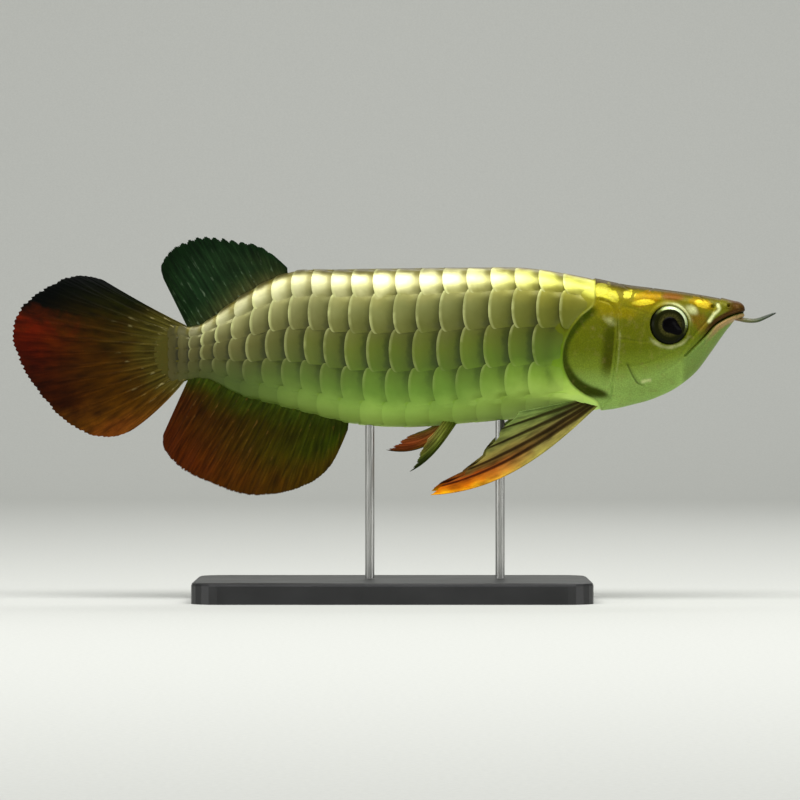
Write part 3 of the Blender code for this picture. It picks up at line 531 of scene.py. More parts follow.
sheath = TAIL_END + (SHEATH_TIP[0] - TAIL_END) * np.sin(np.radians(np.arange(86, 0, -6)))
stations = np.concatenate([sheath, np.arange(TAIL_END, HEAD_FROM, 2.2),
                           np.arange(HEAD_FROM, NOSE_START, 0.36),
                           NOSE_START + (NOSE_TIP[0] - NOSE_START)
                           * np.sin(np.radians(np.arange(0, 88, 5)))])
shares = np.linspace(0, 1, SHARES + 1)
right = half_rings(stations, shares)
outward = grid_normals(right)
arc = np.concatenate([np.zeros((len(stations), 1)),
                      np.cumsum(np.linalg.norm(np.diff(right, axis=1), axis=2), axis=1)], axis=1)
rise = np.full(arc.shape, -UNDER_SCALES)
covered = (ramp(shares, 0.04, 0.1) * ramp(-shares, -0.85, -0.6)
           * ramp(-beside(right[:, :, 0], right[:, :, 2], HEAD_SEAM), 3.0, 9.0)
           * ramp(right[:, :, 0], TAIL_END, TAIL_END + 10))
rise -= UNDER_SIDE_SCALES * covered
on_head = stations > HEAD_FROM
rise[on_head] += ramp(beside(right[on_head, :, 0], right[on_head, :, 2], HEAD_SEAM), -0.6, 0.2) * UNDER_SCALES
rise[on_head] += head_relief(right[on_head, :, 0], right[on_head, :, 2], arc[on_head])
rise *= np.clip((NOSE_TIP[0] - stations) / 0.5, 0, 1)[:, None] ** 0.5
rise *= ramp(stations, SHEATH_TIP[0], TAIL_END)[:, None]
right = right + outward * rise[:, :, None]
left = right[:, SHARES - 1:0:-1] * np.array([1, -1, 1])
rings = np.concatenate([right, left], axis=1)
around = rings.shape[1]
print("skin:", len(stations), "rings of", around, "points")

# %% [markdown]
# The colours of the skin follow areas of the head too: gold plates over the eye and on the
# snout, with lemon patches on them that are partly a painted highlight, brown lips, painted
# shade as dark lines in the seams, pale marks and painted highlights along ridges of bone,
# and a pale throat. Each area is a soft number from 0 to 1 on every point, and the material
# breaks up their edges with noise.

# %% Areas of colour on the head
GOLD_PATCHES = [
    # (along, height, half length, half height, turn in degrees, strength)
    (79.6, 117.0, 3.9, 3.8, 20, 1.0), (83.4, 115.0, 3.6, 2.4, -30, 1.0), (89.3, 115.5, 3.4, 2.2, 15, 1.0),
    (96.8, 114.8, 6.0, 2.8, -4, 1.0), (94.6, 112.8, 5.2, 1.9, 4, 1.0),
    (115.4, 113.0, 3.8, 2.4, -12, 1.0), (118.6, 112.0, 2.8, 1.9, -20, 1.0),
]
GILT_PATCHES = [
    (81.2, 113.6, 5.4, 6.2, 0, 1.0), (86.0, 109.2, 6.4, 2.5, -6, 1.0), (95.0, 113.8, 9.4, 4.6, -4, 1.0),
    (117.2, 112.6, 6.6, 2.9, -12, 1.0), (121.6, 110.4, 1.9, 2.2, 0, 0.8), (125.4, 112.0, 3.6, 1.8, -14, 0.9),
]
GOLD_PARTINGS = [
    [(85.6, 118.0), (86.0, 114.4), (85.2, 111.4)], [(91.4, 117.0), (89.8, 113.8), (87.6, 111.6)],
    [(102.8, 116.6), (103.0, 111.0)],
]
# Lemon patches on the gold plates: partly their own colour and partly a painted highlight where the plates face the
# light from above.
LEMON_AND_HIGHLIGHT_PATCHES = [
    (79.2, 117.6, 2.2, 2.0, 20, 1.0), (83.2, 115.2, 2.2, 1.3, -30, 0.9), (88.6, 115.7, 2.9, 1.9, 15, 1.0),
    (94.8, 112.7, 4.2, 1.1, 4, 1.0), (116.9, 112.1, 3.0, 1.4, -16, 1.0),
]
MEMBRANE_WIDTH = [(74.0, 5.0), (78.0, 4.8), (81.0, 4.2), (85.0, 3.4), (90.0, 2.4), (96.0, 2.0), (102.0, 2.6),
                  (108.0, 3.0), (113.0, 2.2)]
BROWN_PATCHES = [(105.6, 114.9, 4.4, 1.4, -6, 1.0), (116.0, 105.6, 4.8, 3.0, -52, 0.5)]
BRIGHT_BONE = [(122.9, 112.0), (123.4, 110.4), (121.4, 108.2), (119.6, 105.6)]


def in_patch(x, z, patch, blur=0.2):
    """1 inside an ellipse of the side view, 0 outside it, with a soft edge."""
    px, pz, wide, high, turn, strength = patch
    turn = math.radians(turn)
    a = ((x - px) * math.cos(turn) + (z - pz) * math.sin(turn)) / wide
    b = ((z - pz) * math.cos(turn) - (x - px) * math.sin(turn)) / high
    return strength * ramp(-np.hypot(a, b), -1 - blur, -1 + blur)


def colour_areas(x, z, arc):
    """Named numbers that the skin's material paints by."""
    seam, mouth = beside(x, z, HEAD_SEAM), beside(x, z, MOUTH)
    cover_front = beside(x, z, GILL_FRONT)
    gold, lemon_and_highlight, gilt, brow = [np.max([in_patch(x, z, patch, 0.75) for patch in patches], axis=0)
                               for patches in (GOLD_PATCHES, LEMON_AND_HIGHLIGHT_PATCHES, GILT_PATCHES, BROWN_PATCHES)]
    gold = 1.5 * gold - 0.5
    gilt = gilt * ramp(arc, 6.5, 9.5)
    for parting in GOLD_PARTINGS:
        gold = gold - 1.1 * bump(np.abs(beside(x, z, parting)), 0.0, 0.6)
    round_eye = np.hypot(x - EYE[0], z - EYE[1])
    toward_snout = np.arctan2(z - EYE[1], x - EYE[0])
    upper_ring = bump(toward_snout, 0.95, 0.75)
    # Pale marks and painted highlights: the bright streak on the upper lip's bone, the light arcs round the eye, the
    # gill cover's front edge, the top of the cheek plate and the jaw's joint.
    pale_and_highlight = 0.85 * bump(np.abs(beside(x, z, BRIGHT_BONE)), 0.0, 0.7)
    pale_and_highlight = np.maximum(pale_and_highlight, 0.8 * upper_ring * bump(round_eye, 8.0, 0.6))
    pale_and_highlight = np.maximum(pale_and_highlight, 0.4 * bump(round_eye, 8.5, 0.8) * ramp(-z, -101.0, -98.0))
    pale_and_highlight = np.maximum(pale_and_highlight, 0.22 * bump(cover_front, -0.9, 0.4) * ramp(-z, -103.0, -101.0) * ramp(z, 85.0, 87.0))
    pale_and_highlight = np.maximum(pale_and_highlight, 0.34 * in_patch(x, z, (82.0, 105.7, 2.6, 1.4, -25, 1.0), 0.9))
    pale_and_highlight = np.maximum(pale_and_highlight, 0.62 * in_patch(x, z, (112.9, 110.0, 2.4, 1.5, -35, 1.0), 0.7))
    pale_and_highlight = np.maximum(pale_and_highlight, 0.5 * bump(np.abs(beside(x, z, [(94.4, 82.7), (95.8, 83.2), (97.2, 83.4)])), 0, 0.8))
    # Painted shade: dark lines in the mouth, the head's seam, just behind the gill cover's front edge and in the jaw's
    # joint.
    seam_shade = 0.72 * bump(mouth, -0.1, 0.5) * (0.45 + 0.55 * ramp(x, 112.0, 120.0))
    seam_shade = np.maximum(seam_shade, 0.45 * bump(seam, 0.2, 0.4))
    seam_shade = np.maximum(seam_shade, 0.4 * bump(cover_front, 0.5, 0.5) * ramp(z, 86.0, 88.0))
    seam_shade = np.maximum(seam_shade, 0.55 * bump(beside(x, z, JAW_JOINT), 0.0, 0.7))
    width = smooth(MEMBRANE_WIDTH, z)
    membrane = ramp(seam, -0.3, 0.4) * ramp(width - seam, -1.4, 1.6) * ramp(-z, -113.5, -110.0)
    membrane = membrane * ramp(z, 74.8, 78.5)
    upper_lip = ramp(-mouth, -0.2, 0.4) * ramp(mouth, -2.6, -1.4) * ramp(x, 114.0, 122.0)
    lower_lip = ramp(mouth, 0.2, 0.6) * ramp(-mouth, -3.4, -1.6) * ramp(x, 116.0, 124.0)
    jaw = ramp(mouth, 0.2, 0.8) * ramp(x, 108.0, 112.0)
    throat = ramp(-(z - smooth(BELLY, x)), -15.0, -5.0) * ramp(x, 80.0, 92.0) * ramp(-x, -112.0, -106.0)
    bar = ramp(cover_front, 0.7, 1.8) * ramp(-cover_front, -7.5, -3.0) * ramp(seam, 1.5, 5.5)
    bar = bar * ramp(z, 80.0, 92.0) * ramp(-z, -108.0, -100.0)
    snout = ramp(x, 123.5, 130.5) * ramp(-mouth, 0.2, 1.2)
    return {"gold": gold, "lemon_and_highlight": lemon_and_highlight, "gilt": gilt, "pale_and_highlight": pale_and_highlight, "seam_shade": seam_shade, "upper_lip": upper_lip,
            "lower_lip": lower_lip, "jaw": np.maximum(jaw, 0.4 * throat), "bar": bar, "membrane": membrane,
            "snout": snout, "brow": brow, "seam": np.clip(seam, -20, 20)}


def both_sides(values):
    """Repeats the right side's numbers on the left, ring by ring."""
    return np.concatenate([values, values[:, SHARES - 1:0:-1]], axis=1)


x, z = right[:, :, 0], right[:, :, 2]
values = {key: both_sides(area) for key, area in colour_areas(x, z, arc).items()}
values["height"] = both_sides(np.broadcast_to(shares, arc.shape))
values["along"] = both_sides(x)
# Painted shade: the skin under the side scales is painted dark, as the gaps between the plates lie in shade.
values["between"] = both_sides(0.7 * covered)
print("areas:", ", ".join(values))

# %% [markdown]
# ## Markings that the skin and the scales share
#
# The fish is gold-olive along the back, silvery lemon where the upper scales face the
# light, olive on the flank and a clear yellow-green below. The lemon band is partly the
# scales' own shine and partly a painted highlight of the light from above, and the green is
# partly a painted reflection of green surroundings. The tail end is greyer. Skin and
# scales must agree, so one function writes the same nodes into both materials: ramps over
# the height on the side, mixed by the place along the body.

# %% The shared markings
BAND_NOISE_MM = 9.0
# The pale lemon stops high on the side are partly the scales' own silvery shine and partly a painted highlight of the
# light from above; the green of the flank and belly is partly a painted reflection of green surroundings.
TRUNK_BANDS = [(0.0, "#3c340a"), (0.04, "#585018"), (0.068, "#8c864c"), (0.095, "#e4e0a6"), (0.125, "#f0edb8"),
               (0.17, "#e2dfa4"), (0.23, "#989656"), (0.3, "#82854a"), (0.42, "#686c2e"), (0.52, "#617018"),
               (0.64, "#577017"), (0.76, "#698e2a"), (0.86, "#96bc4c"), (1.0, "#b4d462")]
TAIL_BANDS = [(0.0, "#4c4420"), (0.05, "#6a6438"), (0.1, "#b2ae80"), (0.15, "#c8c698"), (0.24, "#a09e6a"),
              (0.38, "#747242"), (0.52, "#605e2e"), (0.68, "#4c521c"), (0.84, "#465819"), (1.0, "#546a20")]
SHOULDER_BANDS = [(0.0, "#4c3c02"), (0.045, "#6a5808"), (0.075, "#aca42c"), (0.105, "#e8e86c"), (0.16, "#e0e060"),
                  (0.23, "#868224"), (0.32, "#66681a"), (0.46, "#57600e"), (0.6, "#567410"), (0.7, "#80a230"),
                  (0.84, "#bcdc66"), (1.0, "#d0f488")]
SHEATH_COLOUR = "#443f14"


def markings(tree):
    """Colour by height on the side and place along the body, as a colour socket."""
    height = add_node(tree, "Attribute", attribute_name="height").outputs["Fac"]
    along = add_node(tree, "Attribute", attribute_name="along").outputs["Fac"]
    place = add_node(tree, "TexCoord").outputs["Object"]
    cloud = add_node(tree, "TexNoise", {"Vector": place, "Scale": 1 / (BAND_NOISE_MM * MM), "Detail": 3.0})
    shift = add_node(tree, "Math", {0: cloud.outputs["Fac"], 1: 0.12, 2: -0.06}, operation="MULTIPLY_ADD")
    height = add_node(tree, "Math", {0: height, 1: shift.outputs[0]}, operation="ADD").outputs[0]
    trunk, tail, shoulder = [
        add_node(tree, "ValToRGB", {"Fac": height}, stops=[(at, linear(c)) for at, c in bands])
        for bands in (TRUNK_BANDS, TAIL_BANDS, SHOULDER_BANDS)]
    to_tail = add_node(tree, "MapRange", {"Value": along, "From Min": -5.0, "From Max": -58.0})
    to_head = add_node(tree, "MapRange", {"Value": along, "From Min": 22.0, "From Max": 62.0})
    rear = add_node(tree, "Mix", {MIX_FACTOR: to_tail.outputs["Result"], MIX_FIRST: trunk.outputs["Color"],
                                  MIX_SECOND: tail.outputs["Color"]}, data_type="RGBA")
    front = add_node(tree, "Mix", {MIX_FACTOR: to_head.outputs["Result"], MIX_FIRST: rear.outputs[MIXED],
                                   MIX_SECOND: shoulder.outputs["Color"]}, data_type="RGBA")
    to_fin = add_node(tree, "MapRange", {"Value": along, "From Min": -60.0, "From Max": -84.0})
    sheathed = add_node(tree, "Mix", {MIX_FACTOR: to_fin.outputs["Result"], MIX_FIRST: front.outputs[MIXED],
                                      MIX_SECOND: linear(SHEATH_COLOUR)}, data_type="RGBA")
    return sheathed.outputs[MIXED]


# %% [markdown]
# Fish skin is living tissue under a film of slime. The slime is a clear coat: it gives the
# wet, sharp highlight, while the skin below is soft and lets a little light in. Over the
# bones of the head, plates of guanine crystals throw light back like metal, so the gold
# areas are part metallic. Fine pits and grain keep it from looking like plastic.

# %% Head skin: slime over guanine plates
PIT_MM = 0.55
BLOTCH_MM = 2.6
HEAD_BANDS = [(0.0, "#342a00"), (0.1, "#3e3200"), (0.15, "#524602"), (0.2, "#6a620e"), (0.25, "#6c6a16"), (0.4, "#5c600a"),
              (0.56, "#5a640a"), (0.66, "#6c7e22"), (0.77, "#86a24c"), (1.0, "#98bc5e")]

skin_finish, tree, shader = new_finish("slimed_skin_over_guanine")
place = add_node(tree, "TexCoord").outputs["Object"]
area = {key: add_node(tree, "Attribute", attribute_name=key).outputs["Fac"]
        for key in ("height", "along", "gold", "lemon_and_highlight", "gilt", "pale_and_highlight", "seam_shade", "upper_lip", "lower_lip", "jaw", "bar",
                    "membrane", "snout", "brow", "seam", "between")}
blotch = add_node(tree, "TexNoise", {"Vector": place, "Scale": 1 / (BLOTCH_MM * MM), "Detail": 4.0})
fine = add_node(tree, "TexNoise", {"Vector": place, "Scale": 1 / (0.5 * MM), "Detail": 2.0})
flakes = add_node(tree, "TexNoise", {"Vector": place, "Scale": 1 / (2.4 * MM), "Detail": 3.0, "Roughness": 0.5,
                                     "Distortion": 0.5})
on_body = add_node(tree, "MapRange", {"Value": area["seam"], "From Min": 0.4, "From Max": -0.4})
head_colour = add_node(tree, "ValToRGB", {"Fac": area["height"]},
                       stops=[(at, linear(c)) for at, c in HEAD_BANDS]).outputs["Color"]


def broken(area_socket, amount, by=blotch, span=(0.3, 0.75)):
    """An area whose edge is frayed by noise, as the borders of colour on skin are."""
    push = add_node(tree, "Math", {0: by.outputs["Fac"], 1: amount, 2: -amount / 2}, operation="MULTIPLY_ADD")
    moved = add_node(tree, "Math", {0: area_socket, 1: push.outputs[0]}, operation="ADD")
    return add_node(tree, "MapRange", {"Value": moved.outputs[0], "From Min": span[0], "From Max": span[1]},
                    interpolation_type="SMOOTHSTEP").outputs["Result"]


SOFT, CRISP, SHARP = (0.0, 1.0), (0.3, 0.75), (0.3, 0.62)
HEAD_LAYERS = [
    # (area, how frayed, how soft its edge is, colour)
    ("jaw", 0.3, SOFT, "#728b42"), ("bar", 0.3, SOFT, "#3e4400"), ("membrane", 0.3, SOFT, "#323e00"),
    ("gilt", 0.7, SOFT, "#7c7206"), ("brow", 0.7, SOFT, "#784c10"), ("snout", 0.5, SOFT, "#4e3206"),
    ("gold", 1.9, SHARP, None), ("upper_lip", 0.4, SOFT, "#3c2606"), ("lower_lip", 0.4, SOFT, "#a08454"),
    # Painted light on the head: the pale layer holds painted highlights as well as pale marks, and the dark layer is
    # painted shade in the seams.
    ("pale_and_highlight", 0.5, SOFT, "#d8dc9c"), ("seam_shade", 0.2, CRISP, "#1c1c02"),
]
GOLD_ALONG = [(0.0, "#a09a2c"), (0.2, "#9c9620"), (0.3, "#8c760a"), (0.42, "#8a6a00"), (0.6, "#886a00"),
              (0.76, "#846c04"), (0.86, "#8c7408"), (1.0, "#7c6606")]
LEMON_AND_HIGHLIGHT_ALONG = [(0.0, "#a8a236"), (0.24, "#aca434"), (0.34, "#dcc82c"), (0.8, "#d0b428"), (1.0, "#b89c1c")]
place_on_head = add_node(tree, "MapRange", {"Value": area["along"], "From Min": 77.0, "From Max": 125.0})
gold_colour = add_node(tree, "ValToRGB", {"Fac": place_on_head.outputs["Result"]},
                       stops=[(at, linear(c)) for at, c in GOLD_ALONG]).outputs["Color"]
# Painted highlight: lemon over the gold where the plates catch the light.
lemon_and_highlight = broken(area["lemon_and_highlight"], 0.9, flakes, CRISP)
lemon_and_highlight_colour = add_node(tree, "ValToRGB", {"Fac": place_on_head.outputs["Result"]},
                        stops=[(at, linear(c)) for at, c in LEMON_AND_HIGHLIGHT_ALONG]).outputs["Color"]
gold_colour = add_node(tree, "Mix", {MIX_FACTOR: lemon_and_highlight, MIX_FIRST: gold_colour, MIX_SECOND: lemon_and_highlight_colour},
                       data_type="RGBA").outputs[MIXED]
for key, frayed, span, colour in HEAD_LAYERS:
    edge = broken(area[key], frayed, flakes if colour is None else blotch, span)
    head_colour = add_node(tree, "Mix", {MIX_FACTOR: edge, MIX_FIRST: head_colour,
                                         MIX_SECOND: linear(colour) if colour else gold_colour},
                           data_type="RGBA").outputs[MIXED]
speckle = add_node(tree, "MapRange", {"Value": fine.outputs["Fac"], "From Min": 0.35, "From Max": 0.7,
                                      "To Min": 0.82, "To Max": 1.12})
head_colour = add_node(tree, "Mix", {MIX_FACTOR: 1.0, MIX_FIRST: head_colour,
                                     MIX_SECOND: speckle.outputs["Result"]},
                       data_type="RGBA", blend_type="MULTIPLY").outputs[MIXED]
# Painted shade between the scales: the body's colours turn olive-black where the skin lies under the side scales.
body_colour = add_node(tree, "Mix", {MIX_FACTOR: area["between"], MIX_FIRST: markings(tree),
                                     MIX_SECOND: linear("#3a3c16")}, data_type="RGBA").outputs[MIXED]
colour = add_node(tree, "Mix", {MIX_FACTOR: on_body.outputs["Result"], MIX_FIRST: head_colour,
                                MIX_SECOND: body_colour}, data_type="RGBA").outputs[MIXED]
metal = add_node(tree, "MapRange", {"Value": broken(area["gold"], 1.9, flakes, SHARP), "To Min": 0.2, "To Max": 0.55})
gloss = add_node(tree, "MapRange", {"Value": blotch.outputs["Fac"], "To Min": 0.32, "To Max": 0.52})
pits = add_node(tree, "TexVoronoi", {"Vector": place, "Scale": 1 / (PIT_MM * MM)})
relief = add_node(tree, "Math", {0: pits.outputs["Distance"], 1: fine.outputs["Fac"]}, operation="ADD")
dents = add_node(tree, "Bump", {"Height": relief.outputs[0], "Strength": 0.22, "Distance": 0.08 * MM})
set_sockets(shader, {"Base Color": colour, "Metallic": metal.outputs["Result"], "Roughness": gloss.outputs["Result"],
                     "Normal": dents.outputs["Normal"], "IOR": 1.38, "Specular IOR Level": 0.07,
                     "Coat Weight": 0.08, "Coat Roughness": 0.14, "Coat IOR": 1.34,
                     "Subsurface Weight": 0.06, "Subsurface Scale": 1.5 * MM})

# %% [markdown]
# The rings become a tube, closed by a fan of triangles at the tail and at the nose. The map
# for baking is the simplest unwrap: the length runs one way and the girth the other.

# %% The skin's mesh
points = rings.reshape(-1, 3)
faces = grid_faces(len(stations), around, wrap=True).tolist()
tail_hub, nose_hub = len(points), len(points) + 1
points = np.concatenate([points, [[SHEATH_TIP[0], 0, SHEATH_TIP[1]], [NOSE_TIP[0], 0, NOSE_TIP[1]]]])
last_ring = (len(stations) - 1) * around
for j in range(around):
    k = (j + 1) % around
    faces.append([j, tail_hub, k])
    faces.append([last_ring + j, last_ring + k, nose_hub])


def with_hubs(value, at_tail, at_nose):
    return np.concatenate([np.asarray(value, dtype=float).ravel(), [at_tail, at_nose]])


hub_values = {"height": (0.5, 0.4), "along": (SHEATH_TIP[0], NOSE_TIP[0]), "seam": (-20, 20), "snout": (0, 1)}
values = {key: with_hubs(value, *hub_values.get(key, (0, 0))) for key, value in values.items()}


SKIN_LENGTH = NOSE_TIP[0] - SHEATH_TIP[0]


def unwrap(x, girth_share):
    """A place in the unit square for a place along the body and a share of the whole girth."""
    return np.stack([0.02 + 0.96 * (np.asarray(x) - SHEATH_TIP[0]) / SKIN_LENGTH,
                     0.02 + 0.96 * np.asarray(girth_share)], axis=-1)


girth_share = np.broadcast_to(np.arange(around) / around, rings.shape[:2])
skin_map = np.concatenate([unwrap(rings[:, :, 0], girth_share).reshape(-1, 2),
                           unwrap([SHEATH_TIP[0], NOSE_TIP[0]], [0.5, 0.5])])
skin = make_piece("skin", points, faces, skin_finish, values, skin_map, sharp=60)
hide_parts("head", "lower_jaw", "gill_cover_right", "gill_cover_left", "trunk", "tail")

# %% [markdown]
# ## The scales
#
# An arowana's scales are as large as a thumbnail and lie like roof tiles: each is rooted in
# the skin, and its free edge lies over the root of the one behind. Here each scale is its
# own solid plate. It is a small grid of points in two directions, from the free edge to the
# root and from its upper to its lower end, laid on the map of the surface. An array
# modifier couldn't follow the body's changing width, so a loop lays them.

# %% Where the scales lie
ROWS = [
    # (middle, half height), both as shares of the way from the back to the belly
    (0.0, 0.045), (0.12, 0.112), (0.322, 0.116), (0.532, 0.118), (0.735, 0.108), (0.91, 0.094),
    (1.0, 0.03),
]
FIRST_EDGE, LAST_EDGE = -84.6, 84.0
PITCH = [(-85.0, 3.7), (-80.0, 4.3), (-73.4, 5.2), (-63.0, 6.6), (-50.0, 7.3), (-34.0, 7.5),
         (-20.0, 8.1), (-2.0, 8.7), (90.0, 8.8)]
EDGE_BULGE = 0.3
SLANT_AT_BACK, SLANT_AT_BELLY = 2.6, -4.0
SCALE_LENGTH = 1.5
SCALE_THICK = 0.2
FREE_EDGE_RISE = 0.3
SCALE_DOME = 0.2
ROOT_SINK = 0.3
RIM_MM = 0.4
ALONG_STEPS, ACROSS_STEPS = 20, 24


def edge_columns():
    """Where each column of scales ends, at half height, from the tail to the head."""
    edges = [FIRST_EDGE]
    while edges[-1] < LAST_EDGE:
        edges.append(edges[-1] + float(smooth(PITCH, edges[-1])))
    return edges


def scale_plate(edge, row, side, rng):
    """One scale: its points, faces, named numbers and bake places, as arrays."""
    middle, reach = row
    pitch = float(smooth(PITCH, edge))
    length = SCALE_LENGTH * pitch
    across = np.sin(np.linspace(-1, 1, ACROSS_STEPS + 1) * math.pi / 2)[None, :]
    root = (np.linspace(0, 1, ALONG_STEPS + 1) ** 1.6)[:, None]
    lean = (SLANT_AT_BACK + (SLANT_AT_BELLY - SLANT_AT_BACK) * middle) * ramp(edge, TAIL_END, TAIL_END + 30)
    arc_shape = np.sqrt(1 - across ** 2)
    free_x = edge + lean - EDGE_BULGE * pitch * (arc_shape - 0.5) + rng.uniform(-0.03, 0.03) * pitch
    free_x = free_x - 1.2 * across * (0.5 - middle)
    x = free_x + root * length * (0.75 + 0.25 * arc_shape)
    t = middle + across * reach * (1 - 0.12 * root) + 0 * x
    from_edge = root * length + 0 * across

    place = skin_at(x, t)
    seam = beside(place[..., 0], place[..., 2], HEAD_SEAM)
    tucked = ramp(seam, -1.3, -0.1)
    calm = ramp(x, SHEATH_TIP[0] + 4, TAIL_END + 22) * (0.1 + 0.9 * ramp(-t, -0.72, -0.28)) * ramp(np.abs(t), 0, 0.1)
    stand = FREE_EDGE_RISE * (0.35 + 0.65 * arc_shape) * (1 + rng.uniform(-0.1, 0.1)) * calm
    rise = -ROOT_SINK * calm + (stand + ROOT_SINK * calm) * (1 - root) ** 1.25 - 0.12 * root
    rise += calm * SCALE_DOME * (arc_shape ** 2 - 0.6) * np.sin(math.pi * np.clip(root + 0.12, 0, 1)) ** 0.7
    rise += calm * 0.07 * bump(from_edge, RIM_MM, 0.35) * arc_shape
    rise -= 0.3 * ramp(root, 0.25, 0.6) * ramp(np.abs(across), 0.5, 1.0)
    rise = rise * (1 - tucked) - 0.5 * tucked
    thick = SCALE_THICK * np.clip(np.minimum(from_edge / 0.25, (1 - np.abs(across)) / 0.03), 0.15, 1)
    top = skin_at(x, t, rise + 0 * x)
    bottom = skin_at(x, t, rise - thick)
    points, faces = solid_from_sheets(top, bottom)
    if side > 0:
        points = points * np.array([1, -1, 1])
        faces = faces[:, ::-1]

    tone = rng.uniform(0, 1)
    share = np.where(t < 0, -t, np.where(t > 1, 2 - t, t))
    hidden_rim = 2.0 * ramp(seam, -4.0, -1.5) + 2.0 * ramp(-x, -TAIL_END - 8, -TAIL_END + 4)
    by_cover = 1 - 0.7 * ramp(seam, -7.0, -2.0)
    one = {"height": share, "along": x, "edge": from_edge + hidden_rim, "cover": by_cover * from_edge / pitch,
           "across": across + 0 * x, "tone": tone + 0 * x}
    values = {key: np.concatenate([value.ravel(), value.ravel()]) for key, value in one.items()}
    girth = middle / 2 if side < 0 else 1 - middle / 2
    centre = unwrap(edge, girth)
    spread = np.stack([root + 0 * across, across + 0 * root], -1)
    patch = centre + spread * np.array([0.62 * length / SKIN_LENGTH, 0.036])
    under = centre + spread * 0.003 - np.array([0.004, 0.0])
    bake = np.concatenate([patch.reshape(-1, 2), under.reshape(-1, 2)])
    return points, faces, values, bake


def joined(plates):
    """Many plates as the arrays of one mesh."""
    points, faces, values, bake, start = [], [], {}, [], 0
    for plate_points, plate_faces, plate_values, plate_bake in plates:
        points.append(plate_points)
        faces.append(plate_faces + start)
        bake.append(plate_bake)
        for key, value in plate_values.items():
            values.setdefault(key, []).append(value)
        start += len(plate_points)
    return (np.concatenate(points), np.concatenate(faces),
            {key: np.concatenate(value) for key, value in values.items()}, np.concatenate(bake))


print(len(edge_columns()), "columns of scales, pitch", PITCH[0][1], "to", PITCH[-1][1], "mm")

# %% [markdown]
# A scale is thin bone with a mirror of guanine crystals on its underside and clear skin
# over it. It looks like lightly brushed metal under varnish: part metallic, quite smooth,
# with a coat. The rim is paler than the middle, and a painted highlight makes it brightest
# high on the side, where the light from above falls. The root, which the next scale shades,
# is painted dark: painted shade, dark olive near the back and in dark green patches lower
# down. Growth rings run along its edge. Real ones stand 0.05 mm apart, too fine for this
# view, so they are drawn at 0.4 mm.

# %% Scale: guanine-backed bone
RING_MM = 0.4

scale_finish, tree, shader = new_finish("guanine_backed_scale")
place = add_node(tree, "TexCoord").outputs["Object"]
named = {key: add_node(tree, "Attribute", attribute_name=key).outputs["Fac"]
         for key in ("height", "along", "edge", "cover", "across", "tone")}
base = markings(tree)
shade = add_node(tree, "ValToRGB", {"Fac": named["cover"]},
                 stops=[(0.0, linear("#ffffff")), (0.3, linear("#f8f8f4")), (0.7, linear("#dcdccc")),
                        (1.0, linear("#b4b49c"))])
calm = add_node(tree, "MapRange", {"Value": named["height"], "From Min": 0.6, "From Max": 0.8, "To Min": 1.0,
                                   "To Max": 0.3}).outputs["Result"]
base = add_node(tree, "Mix", {MIX_FACTOR: calm, MIX_FIRST: base, MIX_SECOND: shade.outputs["Color"]},
                data_type="RGBA", blend_type="MULTIPLY").outputs[MIXED]

# Painted shade: near the back the roots under the next scale's edge turn dark olive.
root_shade_at_back = add_node(tree, "MapRange", {"Value": named["cover"], "From Min": 0.6, "From Max": 0.9},
               interpolation_type="SMOOTHSTEP").outputs["Result"]
at_back = add_node(tree, "MapRange", {"Value": named["height"], "From Min": 0.22, "From Max": 0.1}).outputs["Result"]
root_shade_at_back = add_node(tree, "Math", {0: root_shade_at_back, 1: at_back}, operation="MULTIPLY").outputs[0]
root_shade_at_back = add_node(tree, "Math", {0: root_shade_at_back, 1: 0.8}, operation="MULTIPLY").outputs[0]
base = add_node(tree, "Mix", {MIX_FACTOR: root_shade_at_back, MIX_FIRST: base, MIX_SECOND: linear("#6c6420")},
                data_type="RGBA").outputs[MIXED]

# Painted shade: dark green patches at the roots in the middle rows, under the next scale's edge.
root_shade_patch_edge = add_node(tree, "TexNoise", {"Vector": place, "Scale": 1 / (2.2 * MM), "Detail": 2.0})
root_shade_patch_place = add_node(tree, "Math", {0: root_shade_patch_edge.outputs["Fac"], 1: 0.34, 2: named["cover"]},
                      operation="MULTIPLY_ADD")
root_shade_patch = add_node(tree, "MapRange", {"Value": root_shade_patch_place.outputs[0], "From Min": 0.84, "From Max": 1.08},
                interpolation_type="SMOOTHSTEP").outputs["Result"]
middle = add_node(tree, "Math", {0: named["across"], 1: named["across"]}, operation="MULTIPLY").outputs[0]
middle = add_node(tree, "MapRange", {"Value": middle, "From Min": 0.98, "From Max": 0.6}).outputs["Result"]
root_shade_patch_rows = add_node(tree, "ValToRGB", {"Fac": named["height"]},
                     stops=[(0.2, linear("#000000")), (0.34, linear("#606060")), (0.5, linear("#c0c0c0")),
                            (0.68, linear("#a0a0a0")), (0.8, linear("#000000"))])
root_shade_patch = add_node(tree, "Math", {0: root_shade_patch, 1: middle}, operation="MULTIPLY").outputs[0]
root_shade_patch = add_node(tree, "Math", {0: root_shade_patch, 1: root_shade_patch_rows.outputs["Color"]}, operation="MULTIPLY").outputs[0]
base = add_node(tree, "Mix", {MIX_FACTOR: root_shade_patch, MIX_FIRST: base, MIX_SECOND: linear("#80944c")},
                data_type="RGBA", blend_type="MULTIPLY").outputs[MIXED]

rim = add_node(tree, "MapRange", {"Value": named["edge"], "From Min": 1.5, "From Max": 0.3},
               interpolation_type="SMOOTHSTEP").outputs["Result"]
wear = add_node(tree, "TexNoise", {"Vector": place, "Scale": 1 / (5.0 * MM), "Detail": 2.0})
worn = add_node(tree, "MapRange", {"Value": wear.outputs["Fac"], "From Min": 0.38, "From Max": 0.6,
                                   "To Min": 0.25, "To Max": 1.0})
rim = add_node(tree, "Math", {0: rim, 1: worn.outputs["Result"]}, operation="MULTIPLY").outputs[0]
